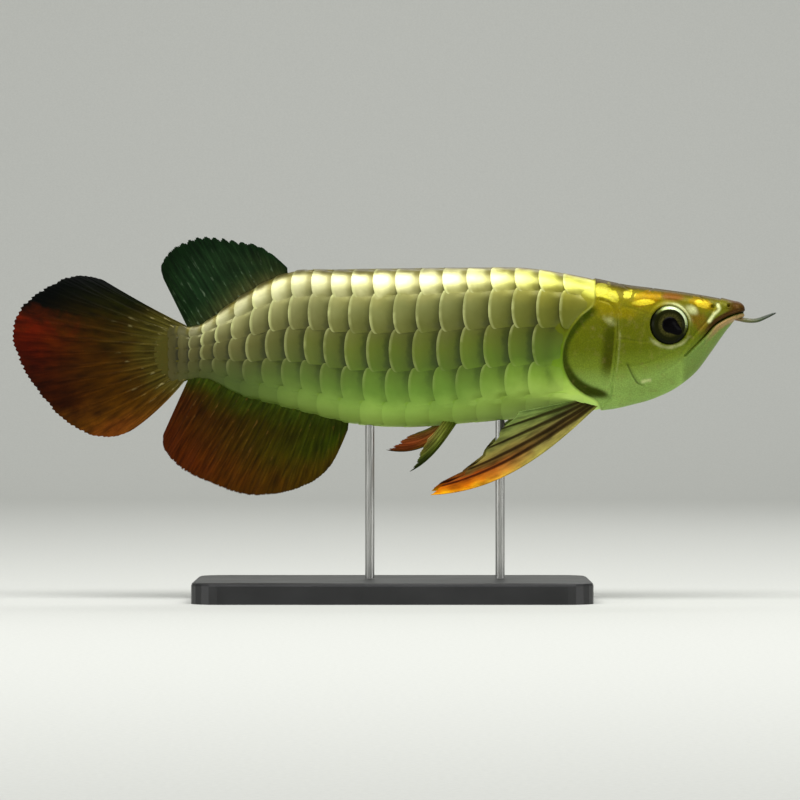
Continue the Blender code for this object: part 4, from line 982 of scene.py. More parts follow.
# Painted highlight: the pale rim is strongest high on the side, where the light from above falls, and fades towards
# the belly.
rim_highlight_by_height = add_node(tree, "ValToRGB", {"Fac": named["height"]},
                        stops=[(0.0, linear("#404040")), (0.1, linear("#d0d0d0")), (0.3, linear("#d0d0d0")),
                               (0.45, linear("#a0a0a0")), (0.62, linear("#808080")), (0.76, linear("#404040")),
                               (0.84, linear("#000000"))])
rim = add_node(tree, "Math", {0: rim, 1: rim_highlight_by_height.outputs["Color"]}, operation="MULTIPLY").outputs[0]
base = add_node(tree, "Mix", {MIX_FACTOR: rim, MIX_FIRST: base, MIX_SECOND: linear("#c8cc88")},
                data_type="RGBA").outputs[MIXED]
tone = add_node(tree, "MapRange", {"Value": named["tone"], "To Min": 0.88, "To Max": 1.1})
base = add_node(tree, "Mix", {MIX_FACTOR: calm, MIX_FIRST: base, MIX_SECOND: tone.outputs["Result"]},
                data_type="RGBA", blend_type="MULTIPLY").outputs[MIXED]
grain = add_node(tree, "TexNoise", {"Vector": place, "Scale": 1 / (1.4 * MM), "Detail": 4.0})
ring_place = add_node(tree, "Math", {0: named["edge"], 1: 2 * math.pi / RING_MM}, operation="MULTIPLY")
rings_wave = add_node(tree, "Math", {0: ring_place.outputs[0]}, operation="SINE")
waves = add_node(tree, "Math", {0: rings_wave.outputs[0], 1: 0.25, 2: grain.outputs["Fac"]},
                 operation="MULTIPLY_ADD")
dents = add_node(tree, "Bump", {"Height": waves.outputs[0], "Strength": 0.25, "Distance": 0.06 * MM})
gloss = add_node(tree, "MapRange", {"Value": grain.outputs["Fac"], "To Min": 0.3, "To Max": 0.48})
set_sockets(shader, {"Base Color": base, "Metallic": 0.4, "Roughness": gloss.outputs["Result"],
                     "Normal": dents.outputs["Normal"], "IOR": 1.45, "Specular IOR Level": 0.4,
                     "Coat Weight": 0.2, "Coat Roughness": 0.12, "Coat IOR": 1.34})

# %% [markdown]
# Four joined meshes hold the scales: the front and the rear half of each side. The rows on
# the middle of the back and of the belly wrap over to the other side, and they stop where a
# fin stands in their place.

# %% Lay the scales
HALVES = {"trunk": (-11.0, 90.0), "tail": (-95.0, -11.0)}
DORSAL_STRETCH = (-95.0, -36.0)
ANAL_STRETCH = (-95.0, -14.0)

rng = np.random.default_rng(7)
for side, side_name in ((-1, "right"), (1, "left")):
    for half, (start, end) in HALVES.items():
        plates = []
        for edge in edge_columns():
            if not start <= edge < end:
                continue
            for row in ROWS:
                stretch = {ROWS[0]: DORSAL_STRETCH, ROWS[-1]: ANAL_STRETCH}.get(row)
                if stretch and (side > 0 or stretch[0] < edge < stretch[1]):
                    continue
                if beside(edge, skin_at(np.array(edge), np.array(row[0]))[2], HEAD_SEAM) > -4.2:
                    continue
                plates.append(scale_plate(edge, row, side, rng))
        points, faces, values, bake = joined(plates)
        scales = make_piece("scales_" + half + "_" + side_name, points, faces, scale_finish, values, bake)
        print(" ", len(plates), "plates")

# %% [markdown]
# ## The fins
#
# A fin is a thin web stretched over soft rays. Each ray is a stack of small bony joints; it
# forks once past its middle and again near the tip, so the margin is finely ragged. Every
# fin here is one sheet of points from its root to its margin, given a thickness: thin in
# the web and round over each ray. Forking needs no tree of pieces. Folding the distance
# from a ray at half, and then again, gives the distance from the nearest of its branches.

# %% A fin as a closed sheet
WEB_THICK = 0.2


def at_share(points, share):
    """The points at shares (0 to 1) of a path's length."""
    curve = path_through(points, 240)
    return np.stack([np.interp(share * 239, np.arange(240), column) for column in curve.T], axis=-1)


def fin_sheet(place, rng, rays, per_ray, rows, ray_size=1.0, taper=0.66, ridge=0.45, notch=0.01,
              ragged=0.012, teeth=None, ripple=0.25, flesh=0.5, forks=(0.42, 0.72)):
    """Points, faces, named numbers and bake places of a fin; place(u, v) runs root to margin."""
    v = np.linspace(0, 1, (rays - 1) * per_ray + 1)[None, :]
    u = np.linspace(0, 1, rows + 1)[:, None]
    ray = v * (rays - 1)
    first = np.abs(ray - np.round(ray))

    def branch(u):
        if not forks:
            return first + 0 * u
        once = np.abs(first - 0.25 * np.clip((u - forks[0]) / (1.0 - forks[0]), 0, 1))
        return np.abs(once - 0.125 * np.clip((u - forks[1]) / (1.02 - forks[1]), 0, 1))

    tips = rng.uniform(-ragged, 0, 4 * rays)[np.round(ray * 4).astype(int) % (4 * rays)]
    reach = 1 + tips - notch * np.minimum(branch(np.array([[1.0]])) / 0.125, 1)
    if teeth:
        uneven = np.interp(ray, np.arange(rays), rng.uniform(0.4, 1.2, rays))
        reach = reach - teeth(v) * uneven * (first / 0.5) ** 1.3
    middle = place(u * reach, v + 0 * u)
    along = np.gradient(middle, axis=0)
    side = np.gradient(middle, axis=1)
    normal = unit(np.cross(along, side))
    spacing = np.linalg.norm(np.cross(unit(along), side), axis=-1) * per_ray
    away = branch(u) * spacing
    radius = ray_size / 2 * (1 - taper * u) + 0 * away
    bone = np.sqrt(np.clip(1 - (away / radius) ** 2, 0, 1))
    middle = middle + normal * (ripple * u * np.sin(2 * math.pi * ray / 3.1 + 2.5 * u))[..., None]
    thin = np.clip((1 - u) / 0.02, 0.3, 1) * np.clip(np.minimum(v, 1 - v) / 0.004, 0.4, 1)
    half = (WEB_THICK / 2 + ridge * radius * bone + flesh * (1 - ramp(u, 0.0, 0.24))) * thin
    top, bottom = middle + normal * half[..., None], middle - normal * half[..., None]
    points, faces = solid_from_sheets(top, bottom)
    length = np.cumsum(np.linalg.norm(along, axis=-1), axis=0)
    one = {"out": u + 0 * v, "across": v + 0 * u, "ray": bone, "length": length, "count": ray + 0 * u}
    values = {key: np.concatenate([value.ravel(), value.ravel()]) for key, value in one.items()}
    flat = np.stack([0.01 + 0.47 * (v + 0 * u), 0.02 + 0.96 * (u + 0 * v)], -1).reshape(-1, 2)
    bake = np.concatenate([flat, flat + np.array([0.5, 0.0])])
    return points, faces, values, bake


print("web", WEB_THICK, "mm thick")

# %% [markdown]
# The web of a fin is wet skin over soft bone, and both are deeply coloured in this fish. The
# colour changes two ways at once: from the first ray to the last, and from the root to the
# margin. So there is one ramp over the rays for the inner part, one for the margin, and one
# from the root outwards whose alpha says how far it covers them. Rays are the web's colour
# times a tint. Short pale glints lie on some rays, and each joint is a fine dark line.

# %% Fin finishes: wet web over bony rays
JOINT_MM = 1.3
GLINT_MM = 4.0
STREAK_MM = 9.0


def fin_finish(name, inner, margin, root, ray_tint, glint, margin_from=(0.35, 0.85), root_slope=0.0,
               pale_first=False):
    """A fin's material. Ramps hold (place, hex[, cover]); glint is (hex, from, to, amount)."""
    surface, tree, shader = new_finish(name)
    place = add_node(tree, "TexCoord").outputs["Object"]
    named = {key: add_node(tree, "Attribute", attribute_name=key).outputs["Fac"]
             for key in ("out", "across", "ray", "length", "count")}
    cloud = add_node(tree, "TexNoise", {"Vector": place, "Scale": 1 / (5.0 * MM), "Detail": 4.0})
    stir = add_node(tree, "Math", {0: cloud.outputs["Fac"], 1: 0.16, 2: -0.08}, operation="MULTIPLY_ADD")
    moved = {key: add_node(tree, "Math", {0: named[key], 1: stir.outputs[0]}, operation="ADD").outputs[0]
             for key in ("out", "across")}
    inner_colour, margin_colour = [
        add_node(tree, "ValToRGB", {"Fac": moved["across"]}, stops=[(at, linear(c)) for at, c in stops])
        for stops in (inner, margin)]
    to_margin = add_node(tree, "MapRange", {"Value": moved["out"], "From Min": margin_from[0],
                                            "From Max": margin_from[1]},
                         interpolation_type="SMOOTHSTEP")
    web = add_node(tree, "Mix", {MIX_FACTOR: to_margin.outputs["Result"], MIX_FIRST: inner_colour.outputs["Color"],
                                 MIX_SECOND: margin_colour.outputs["Color"]}, data_type="RGBA").outputs[MIXED]
    root_place = add_node(tree, "Math", {0: named["across"], 1: root_slope, 2: moved["out"]},
                          operation="MULTIPLY_ADD")
    near_root = add_node(tree, "ValToRGB", {"Fac": root_place.outputs[0]},
                         stops=[(at, linear(c, cover)) for at, c, cover in root])
    web = add_node(tree, "Mix", {MIX_FACTOR: near_root.outputs["Alpha"], MIX_FIRST: web,
                                 MIX_SECOND: near_root.outputs["Color"]}, data_type="RGBA").outputs[MIXED]
    on_ray = named["ray"]
    if pale_first:
        beyond = add_node(tree, "MapRange", {"Value": named["count"], "From Min": 0.3, "From Max": 0.6})
        on_ray = add_node(tree, "Math", {0: on_ray, 1: beyond.outputs["Result"]}, operation="MULTIPLY").outputs[0]
        last = add_node(tree, "MapRange", {"Value": named["count"], "From Min": 4.8, "From Max": 4.4,
                                           "To Min": 0.3, "To Max": 1.0})
        on_ray = add_node(tree, "Math", {0: on_ray, 1: last.outputs["Result"]}, operation="MULTIPLY").outputs[0]
    web = add_node(tree, "Mix", {MIX_FACTOR: on_ray, MIX_FIRST: web, MIX_SECOND: ray_tint + (1.0,)},
                   data_type="RGBA", blend_type="MULTIPLY").outputs[MIXED]

    streak_place = add_node(tree, "CombineXYZ", {
        "X": add_node(tree, "Math", {0: named["length"], 1: 1 / STREAK_MM}, operation="MULTIPLY").outputs[0],
        "Y": add_node(tree, "Math", {0: named["count"], 1: 2.2}, operation="MULTIPLY").outputs[0]})
    streak = add_node(tree, "TexNoise", {"Vector": streak_place.outputs["Vector"], "Scale": 1.0, "Detail": 4.0})
    streak = add_node(tree, "MapRange", {"Value": streak.outputs["Fac"], "From Min": 0.3, "From Max": 0.7,
                                         "To Min": 0.5, "To Max": 1.5})
    web = add_node(tree, "Mix", {MIX_FACTOR: 1.0, MIX_FIRST: web, MIX_SECOND: streak.outputs["Result"]},
                   data_type="RGBA", blend_type="MULTIPLY").outputs[MIXED]

    glint_colour, glint_from, glint_to, glint_amount = glint
    dash_place = add_node(tree, "CombineXYZ", {
        "X": add_node(tree, "Math", {0: named["length"], 1: 1 / GLINT_MM}, operation="MULTIPLY").outputs[0],
        "Y": add_node(tree, "Math", {0: named["count"], 1: 1.7}, operation="MULTIPLY").outputs[0]})
    dash = add_node(tree, "TexNoise", {"Vector": dash_place.outputs["Vector"], "Scale": 1.0, "Detail": 2.0})
    dash = add_node(tree, "MapRange", {"Value": dash.outputs["Fac"], "From Min": 0.56, "From Max": 0.7}).outputs["Result"]
    where = add_node(tree, "MapRange", {"Value": named["out"], "From Min": glint_to, "From Max": glint_from})
    dash = add_node(tree, "Math", {0: dash, 1: where.outputs["Result"]}, operation="MULTIPLY").outputs[0]
    dash = add_node(tree, "Math", {0: dash, 1: named["ray"]}, operation="MULTIPLY").outputs[0]
    dash = add_node(tree, "Math", {0: dash, 1: glint_amount}, operation="MULTIPLY").outputs[0]
    web = add_node(tree, "Mix", {MIX_FACTOR: dash, MIX_FIRST: web, MIX_SECOND: linear(glint_colour)},
                   data_type="RGBA").outputs[MIXED]

    turns = add_node(tree, "Math", {0: named["length"], 1: 1 / JOINT_MM}, operation="MULTIPLY")
    joint = add_node(tree, "Math", {0: turns.outputs[0]}, operation="FRACT")
    line = add_node(tree, "MapRange", {"Value": joint.outputs[0], "From Min": 0.16, "From Max": 0.04})
    joint = add_node(tree, "Math", {0: line.outputs["Result"], 1: named["ray"]}, operation="MULTIPLY")
    joint_shade = add_node(tree, "Math", {0: joint.outputs[0], 1: 0.3}, operation="MULTIPLY")
    web = add_node(tree, "Mix", {MIX_FACTOR: joint_shade.outputs[0], MIX_FIRST: web,
                                 MIX_SECOND: linear("#0a0602")}, data_type="RGBA").outputs[MIXED]
    fibre = add_node(tree, "TexNoise", {"Vector": place, "Scale": 1 / (0.6 * MM), "Detail": 3.0})
    height = add_node(tree, "Math", {0: joint.outputs[0], 1: -0.5, 2: fibre.outputs["Fac"]},
                      operation="MULTIPLY_ADD")
    dents = add_node(tree, "Bump", {"Height": height.outputs[0], "Strength": 0.2, "Distance": 0.08 * MM})
    gloss = add_node(tree, "MapRange", {"Value": cloud.outputs["Fac"], "To Min": 0.42, "To Max": 0.6})
    set_sockets(shader, {"Base Color": web, "Roughness": gloss.outputs["Result"], "IOR": 1.37,
                         "Normal": dents.outputs["Normal"], "Specular IOR Level": 0.06})
    return surface


CAUDAL_FINISH = fin_finish(
    "caudal_web_and_rays",
    inner=[(0.0, "#080e00"), (0.18, "#141300"), (0.32, "#261800"), (0.5, "#301a00"), (0.8, "#3e2400"),
           (1.0, "#58380a")],
    margin=[(0.0, "#000200"), (0.27, "#000100"), (0.33, "#300c00"), (0.38, "#440c00"), (0.46, "#380800"),
            (0.54, "#280800"), (0.68, "#280c00"), (0.8, "#482802"), (0.9, "#68340a"), (1.0, "#6c3e10")],
    root=[(0.0, "#464118", 1.0), (0.12, "#423d14", 0.95), (0.24, "#3e380e", 0.75), (0.36, "#342c08", 0.4),
          (0.5, "#2c2404", 0.0)],
    ray_tint=(1.2, 1.2, 1.2), glint=("#a89c68", 0.12, 0.5, 0.7), margin_from=(0.45, 0.95))
DORSAL_FINISH = fin_finish(
    "dorsal_web_and_rays",
    inner=[(0.0, "#1a240e"), (0.3, "#142410"), (0.7, "#112410"), (1.0, "#0a1a06")],
    margin=[(0.0, "#0c1e0a"), (0.5, "#061606"), (1.0, "#041202")],
    root=[(0.0, "#34321a", 1.0), (0.2, "#38381c", 0.85), (0.38, "#2c3418", 0.4), (0.55, "#1c2c14", 0.0)],
    ray_tint=(1.3, 1.3, 1.3), glint=("#5c6c54", 0.2, 0.85, 0.85), margin_from=(0.55, 0.95), root_slope=0.28)
ANAL_FINISH = fin_finish(
    "anal_web_and_rays",
    inner=[(0.0, "#243200"), (0.3, "#2a2800"), (0.6, "#2e1c00"), (1.0, "#301200")],
    margin=[(0.0, "#302800"), (0.3, "#382000"), (0.7, "#3c1600"), (1.0, "#341000")],
    root=[(0.0, "#36480a", 1.0), (0.1, "#2a3604", 0.9), (0.24, "#242a00", 0.5), (0.4, "#242400", 0.0)],
    ray_tint=(1.25, 1.25, 1.25), glint=("#6e4c20", 0.35, 0.85, 0.45), margin_from=(0.4, 0.95))
PECTORAL_FINISH = fin_finish(
    "pectoral_web_and_rays",
    inner=[(0.0, "#8c843c"), (0.12, "#7c7038"), (0.26, "#645024"), (0.45, "#5e5428"), (0.6, "#5c5e2c"),
           (1.0, "#647c38")],
    margin=[(0.0, "#cc9008"), (0.08, "#be6604"), (0.2, "#9c440a"), (0.28, "#7c5020"), (0.42, "#70602c"),
            (0.56, "#6a6832"), (1.0, "#6a8240")],
    root=[(0.0, "#6c7430", 0.8), (0.12, "#7a7438", 0.4), (0.25, "#7a7438", 0.0)],
    ray_tint=(0.14, 0.1, 0.05), glint=("#b0a070", 0.1, 0.6, 0.0), pale_first=True)
PELVIC_FINISHES = {
    -1: fin_finish(
        "near_pelvic_web_and_rays",
        inner=[(0.0, "#2c3800"), (0.2, "#3c4808"), (0.5, "#66702a"), (1.0, "#7c8036")],
        margin=[(0.0, "#1e2c00"), (0.4, "#34400a"), (0.7, "#6c6c2c"), (1.0, "#8a7a40")],
        root=[(0.0, "#5c7a20", 0.9), (0.2, "#5a6418", 0.5), (0.4, "#5a5a14", 0.0)],
        ray_tint=(0.65, 0.6, 0.5), glint=("#8a8a48", 0.1, 0.6, 0.3)),
    1: fin_finish(
        "far_pelvic_web_and_rays",
        inner=[(0.0, "#4c4a10"), (0.15, "#7c4c14"), (0.5, "#9c5a24"), (0.8, "#8a6c30"), (1.0, "#6a7430")],
        margin=[(0.0, "#34380c"), (0.15, "#84441a"), (0.5, "#a85028"), (0.8, "#94602c"), (1.0, "#6c7434")],
        root=[(0.0, "#5c7a20", 0.9), (0.2, "#5a6418", 0.5), (0.4, "#5a5a14", 0.0)],
        ray_tint=(0.65, 0.6, 0.5), glint=("#a08040", 0.1, 0.6, 0.3)),
}

# %% [markdown]
# The three fins on the middle line fan out from a straight root to a margin measured in the
# photograph. The tail fin's root lies inside the end of the body. Its lower rays curve
# down, and the whole fin bends slightly away from the camera.

# %% Fins on the middle line
FIN_ROOT_DEPTH = 2.4
CAUDAL_ROOT = (-78.4, 104.3, 83.6)
CAUDAL_MARGIN = [(-110.5, 121.7), (-116.0, 123.3), (-121.5, 123.3), (-131.0, 119.2), (-141.3, 111.5),
                 (-145.0, 103.0), (-142.3, 91.1), (-135.6, 79.7), (-123.5, 67.0), (-113.0, 62.0),
                 (-106.4, 61.7), (-102.0, 63.1), (-98.6, 65.2)]
DORSAL_ROOT = (-39.6, -76.8)
DORSAL_MARGIN = [(-39.9, 126.2), (-44.0, 130.0), (-48.8, 133.6), (-61.7, 137.0), (-71.1, 138.2),
                 (-79.0, 136.4), (-86.0, 131.0), (-88.0, 126.0), (-87.1, 122.2)]
ANAL_ROOT = (-16.4, -76.6)
ANAL_MARGIN = [(-16.9, 64.6), (-19.6, 58.2), (-23.7, 50.6), (-28.8, 45.6), (-38.9, 41.2),
               (-54.1, 39.6), (-69.2, 44.2), (-83.0, 52.2), (-87.0, 57.6), (-87.1, 62.6)]


def median_place(root, margin, bow, spread, sweep):
    """Where a point of a fin on the middle plane lies."""
    def place(u, v):
        tip = at_share(margin, spread(v))
        root_x, root_z = root(v)
        dx, dz = tip[..., 0] - root_x, tip[..., 1] - root_z
        lift = 4 * u * (1 - u) * bow(v)
        return np.stack([root_x + dx * u - dz * lift, sweep(u, v), root_z + dz * u + dx * lift], axis=-1)
    return place


def caudal_root(v):
    x, top, bottom = CAUDAL_ROOT
    return x + 0 * v, top + (bottom - top) * v


def dorsal_root(v):
    x = DORSAL_ROOT[0] + (DORSAL_ROOT[1] - DORSAL_ROOT[0]) * v
    return x, smooth(BACK, x) - FIN_ROOT_DEPTH


def anal_root(v):
    x = ANAL_ROOT[0] + (ANAL_ROOT[1] - ANAL_ROOT[0]) * v
    return x, smooth(BELLY, x) + FIN_ROOT_DEPTH


def make_fin(name, sheet, finish):
    points, faces, values, bake = sheet
    item = make_piece(name + "_fine", points, faces, finish, values, bake, sharp=75)
    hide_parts(name)
    return item


rng = np.random.default_rng(21)
caudal = median_place(caudal_root, CAUDAL_MARGIN, lambda v: 0.04 * v ** 3 + 0.012 * (1 - v) ** 3,
                      lambda v: v, lambda u, v: 5.0 * u ** 2 * (0.8 + 0.2 * np.cos(2 * math.pi * v)))
make_fin("caudal_fin", fin_sheet(caudal, rng, 16, 16, 100, ray_size=1.1), CAUDAL_FINISH)
dorsal = median_place(dorsal_root, DORSAL_MARGIN, lambda v: 0.0 * v, lambda v: v ** 0.75,
                      lambda u, v: 1.5 * u ** 2 * np.sin(2.5 * v))
make_fin("dorsal_fin", fin_sheet(dorsal, rng, 18, 16, 60, notch=0.012, flesh=0.25,
                                 teeth=lambda v: 0.075 * ramp(v, 0.0, 0.1) * ramp(-v, -0.9, -0.35)),
         DORSAL_FINISH)
anal = median_place(anal_root, ANAL_MARGIN, lambda v: 0.0 * v, lambda v: v ** 0.62,
                    lambda u, v: -2.0 * u ** 2 * np.sin(3 * v))
make_fin("anal_fin", fin_sheet(anal, rng, 25, 14, 70, notch=0.014, flesh=0.7), ANAL_FINISH)

# %% [markdown]
# The paired fins hang below the chest and the belly. Both trail back, a little folded, so
# their rays bunch at the root. The fins of the far side mirror the near ones, except that
# the far pelvic fin is carried further back, as the photograph shows.

# %% Paired fins
PECTORAL_ROOT = [(78.2, 74.2), (74.9, 75.2), (71.6, 76.2)]
PECTORAL_TIPS = [(14.2, 40.6, 31.0), (18.0, 43.8, 28.5), (28.4, 50.1, 25.5), (35.9, 58.0, 22.0),
                 (40.8, 65.2, 19.0), (47.6, 71.6, 16.5)]
PELVIC_ROOT = [(24.8, 68.0), (22.4, 68.6), (20.0, 69.2)]
PELVIC_TIPS = {
    -1: [(5.9, 48.6, 13.0), (8.6, 52.0, 11.5), (10.6, 56.6, 10.0), (13.0, 61.0, 8.5)],
    1: [(-3.4, 56.9, 15.0), (-0.6, 58.0, 13.0), (3.6, 61.0, 11.5), (9.6, 63.5, 9.5)],
}
BOWS = {
    # How far a ray at share v of the fin bends down between its root and its tip.
    "pectoral": lambda v: 7.0 * (1 - v) ** 3.5,
    -1: lambda v: 2.2 - 1.8 * v,
    1: lambda v: 4.6 - 4.0 * v,
}


def paired_place(side, root, tips, bow):
    """Where a point of a paired fin lies; side is -1 for the right, 1 for the left."""
    gaps = np.linalg.norm(np.diff(np.array(tips), axis=0), axis=1)
    tip_share = np.concatenate([[0], np.cumsum(gaps)]) / gaps.sum()
    even = np.linspace(0, 1, len(tips))

    def place(u, v):
        start = at_share(root, v)
        y = half_width_at(start[..., 0], start[..., 1]) - FIN_ROOT_DEPTH
        start = np.stack([start[..., 0], side * y, start[..., 1]], axis=-1)
        end = at_share(tips, np.interp(v, even, tip_share))[..., [0, 2, 1]] * np.array([1, side, 1])
        sag = (4 * u * (1 - u) * (0.75 + 0.5 * u) * bow(v))[..., None]
        return start + (end - start) * u[..., None] + sag * np.array([0.45, 0, -0.9])
    return place


for side, side_name in ((-1, "right"), (1, "left")):
    pectoral = paired_place(side, PECTORAL_ROOT, PECTORAL_TIPS, BOWS["pectoral"])
    sheet = fin_sheet(pectoral, rng, 6, 28, 110, ray_size=2.3, taper=0.62, ridge=0.3, notch=0.0, ripple=0.4,
                      teeth=lambda v: 0.075 * ramp(v, 0.1, 0.3), forks=None)
    make_fin("pectoral_fin_" + side_name, sheet, PECTORAL_FINISH)
    pelvic = paired_place(side, PELVIC_ROOT, PELVIC_TIPS[side], BOWS[side])
    sheet = fin_sheet(pelvic, rng, 6, 20, 70, ray_size=0.9, notch=0.03, ripple=0.2,
                      teeth=lambda v: 0.05 + 0 * v)
    make_fin("pelvic_fin_" + side_name, sheet, PELVIC_FINISHES[side])

# %% [markdown]
# ## The eyes
#
# A fish's eye has no lids. A clear, nearly flat cornea covers a ring of iris, and a ball of
# a lens bulges through the pupil. An arowana's pupil isn't quite round: it has a point
# towards the mouth. The eye is a turned shape, but its pupil's outline changes with the
# angle, so rings of points are easier here than a lathe.

# %% The eyeball
PUPIL = 3.0
PUPIL_POINT = (2.5, math.radians(-36), 0.5)
IRIS = 5.95
EYE_RINGS, EYE_SIDES = 44, 96


def eye_frame(side, sink):
    """Places a shape by the eye: its centre under the skin, its Y axis facing out."""
    x, z = EYE
    turn = math.radians(EYE_TURN)
    out = Vector((math.sin(turn), side * math.cos(turn), 0))
    centre = Vector((x, side * float(half_width_at(x, z)), z)) - out * sink
    return Matrix.Translation(centre) @ Matrix.Rotation(-side * turn, 4, "Z")


def pupil_edge(angle):
    """The pupil's radius towards each angle, with its point towards the mouth."""
    grow, towards, width = PUPIL_POINT
    off = np.angle(np.exp(1j * (angle - towards)))
    return PUPIL + grow * np.exp(-(off / width) ** 2)


def eye_profile(radius, edge):
    """How far the eyeball stands out at a radius, with the pupil's edge there."""
    dome = EYE_DEPTH * np.sqrt(np.clip(1 - (radius / EYE_RADIUS) ** 2, 0, 1))
    iris = 0.72 * EYE_DEPTH + 0.06 * (radius - edge)
    ball = 0.62 * EYE_DEPTH + 0.85 * np.sqrt(np.clip(1 - (radius / (edge + 0.25)) ** 2, 0, 1))
    inner = np.where(radius < edge, ball, iris)
    return np.minimum(dome, inner) - 0.12 * bump(radius, edge, 0.18)


def turned_grid(side, radii, height_of):
    """A grid of points round the eye's axis, in the row frame."""
    angle = np.arange(EYE_SIDES) / EYE_SIDES * 2 * math.pi
    r, a = radii[:, None] + 0 * angle, angle[None, :] + 0 * radii[:, None]
    local = np.stack([r * np.cos(a), side * height_of(r, a), r * np.sin(a)], -1).reshape(-1, 3)
    matrix = np.array(eye_frame(side, EYE_SINK))
    return local @ matrix[:3, :3].T + matrix[:3, 3], r, a


def eye_faces(side, rings):
    """Faces over the rings, with a fan in the middle and at the back."""
    count = rings * EYE_SIDES
    faces = grid_faces(rings, EYE_SIDES, wrap=True).tolist()
    for j in range(EYE_SIDES):
        k = (j + 1) % EYE_SIDES
        faces.append([j, count, k])
        faces.append([count - EYE_SIDES + j, count - EYE_SIDES + k, count + 1])
    return faces if side < 0 else [face[::-1] for face in faces]


def make_turned(name, side, radii, height_of, back_height, finish):
    """A closed body turned round the eye's axis; radii run from the middle to the rim."""
    points, r, a = turned_grid(side, radii, height_of)
    matrix = np.array(eye_frame(side, EYE_SINK))
    hubs = np.array([[0, side * float(height_of(np.array([[0.0]]), np.array([[0.0]]))[0, 0]), 0],
                     [0, side * back_height, 0]])
    hubs = hubs @ matrix[:3, :3].T + matrix[:3, 3]
    edge = pupil_edge(a)
    values = {"radius": np.append(r.ravel(), [0, 0]), "angle": np.append(a.ravel(), [0, 0]),
              "pupil": np.append((r - edge).ravel(), [-3, -3])}
    return make_piece(name, np.concatenate([points, hubs]), eye_faces(side, len(radii)), finish, values)


print("pupil from", PUPIL, "to", PUPIL + PUPIL_POINT[0], "mm")

# %% [markdown]
# The iris is dark olive with a faint sheen and a pale silvery ring outside it, brightest
# above and in front, where the light falls. Its fibres run outwards from the pupil, so the
# noise is stretched along the radius. The coat on the shader is the wet cornea over it all.

# %% Eye finishes
eye_finish, tree, shader = new_finish("iris_and_lens")
radius, angle, pupil = [add_node(tree, "Attribute", attribute_name=key).outputs["Fac"]
                        for key in ("radius", "angle", "pupil")]
fibre_place = add_node(tree, "CombineXYZ", {"X": add_node(tree, "Math", {0: angle, 1: 5.0}, operation="MULTIPLY").outputs[0],
                                            "Y": add_node(tree, "Math", {0: radius, 1: 0.35}, operation="MULTIPLY").outputs[0]})
fibre = add_node(tree, "TexNoise", {"Vector": fibre_place.outputs["Vector"], "Scale": 3.0, "Detail": 4.0})
iris = add_node(tree, "ValToRGB", {"Fac": fibre.outputs["Fac"]},
                stops=[(0.3, linear("#1c1c06")), (0.5, linear("#323112")), (0.7, linear("#4c4a24"))])
darker = add_node(tree, "MapRange", {"Value": radius, "From Min": 3.8, "From Max": 4.9})
iris = add_node(tree, "Mix", {MIX_FACTOR: darker.outputs["Result"], MIX_FIRST: iris.outputs["Color"],
                              MIX_SECOND: linear("#181a05")}, data_type="RGBA").outputs[MIXED]
facing = add_node(tree, "Math", {0: angle, 1: -0.95}, operation="ADD")
facing = add_node(tree, "Math", {0: facing.outputs[0]}, operation="COSINE")
ring_shade = add_node(tree, "ValToRGB", {"Fac": facing.outputs[0]},
                      stops=[(0.0, linear("#14160a")), (0.4, linear("#4a5020")), (0.72, linear("#bccc90")),
                             (0.9, linear("#dce8bc"))])
outside = add_node(tree, "MapRange", {"Value": radius, "From Min": IRIS - 0.12, "From Max": IRIS + 0.18})
colour = add_node(tree, "Mix", {MIX_FACTOR: outside.outputs["Result"], MIX_FIRST: iris,
                                MIX_SECOND: ring_shade.outputs["Color"]}, data_type="RGBA").outputs[MIXED]
inside = add_node(tree, "MapRange", {"Value": pupil, "From Min": 0.08, "From Max": -0.08})
colour = add_node(tree, "Mix", {MIX_FACTOR: inside.outputs["Result"], MIX_FIRST: colour,
                                MIX_SECOND: linear("#030203")}, data_type="RGBA").outputs[MIXED]
metal = add_node(tree, "MapRange", {"Value": inside.outputs["Result"], "To Min": 0.35, "To Max": 0.0})
dents = add_node(tree, "Bump", {"Height": fibre.outputs["Fac"], "Strength": 0.3, "Distance": 0.08 * MM})
set_sockets(shader, {"Base Color": colour, "Metallic": metal.outputs["Result"], "Roughness": 0.3, "IOR": 1.38,
                     "Specular IOR Level": 0.04, "Normal": dents.outputs["Normal"], "Coat Weight": 0.04,
                     "Coat Roughness": 0.03, "Coat IOR": 1.38})

eye_radii = np.linspace(0.12, EYE_RADIUS - 0.02, EYE_RINGS)
for side, side_name in ((-1, "right"), (1, "left")):
    ball = make_turned("eyeball_" + side_name, side, eye_radii,
                       lambda r, a: eye_profile(r, pupil_edge(a)), -1.6, eye_finish)
    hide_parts("eye_" + side_name)

# %% [markdown]
# ## The barbels
#
# Two soft feelers grow from the tip of the lower jaw and reach forward. Each is a tapered
# tube with fine rings round it, fleshy at the root and darker at the tip.

# %% Barbels
BARBEL = [(129.0, 107.2, 0.9), (131.4, 106.6, 1.6), (133.7, 106.0, 2.1), (138.3, 105.9, 3.0),
          (141.6, 107.2, 3.6), (145.1, 108.9, 4.0)]
BARBEL_RADIUS = (1.0, 0.32)
FAR_BARBEL_LIFT = 0.5
BARBEL_RINGS, BARBEL_SIDES = 90, 20


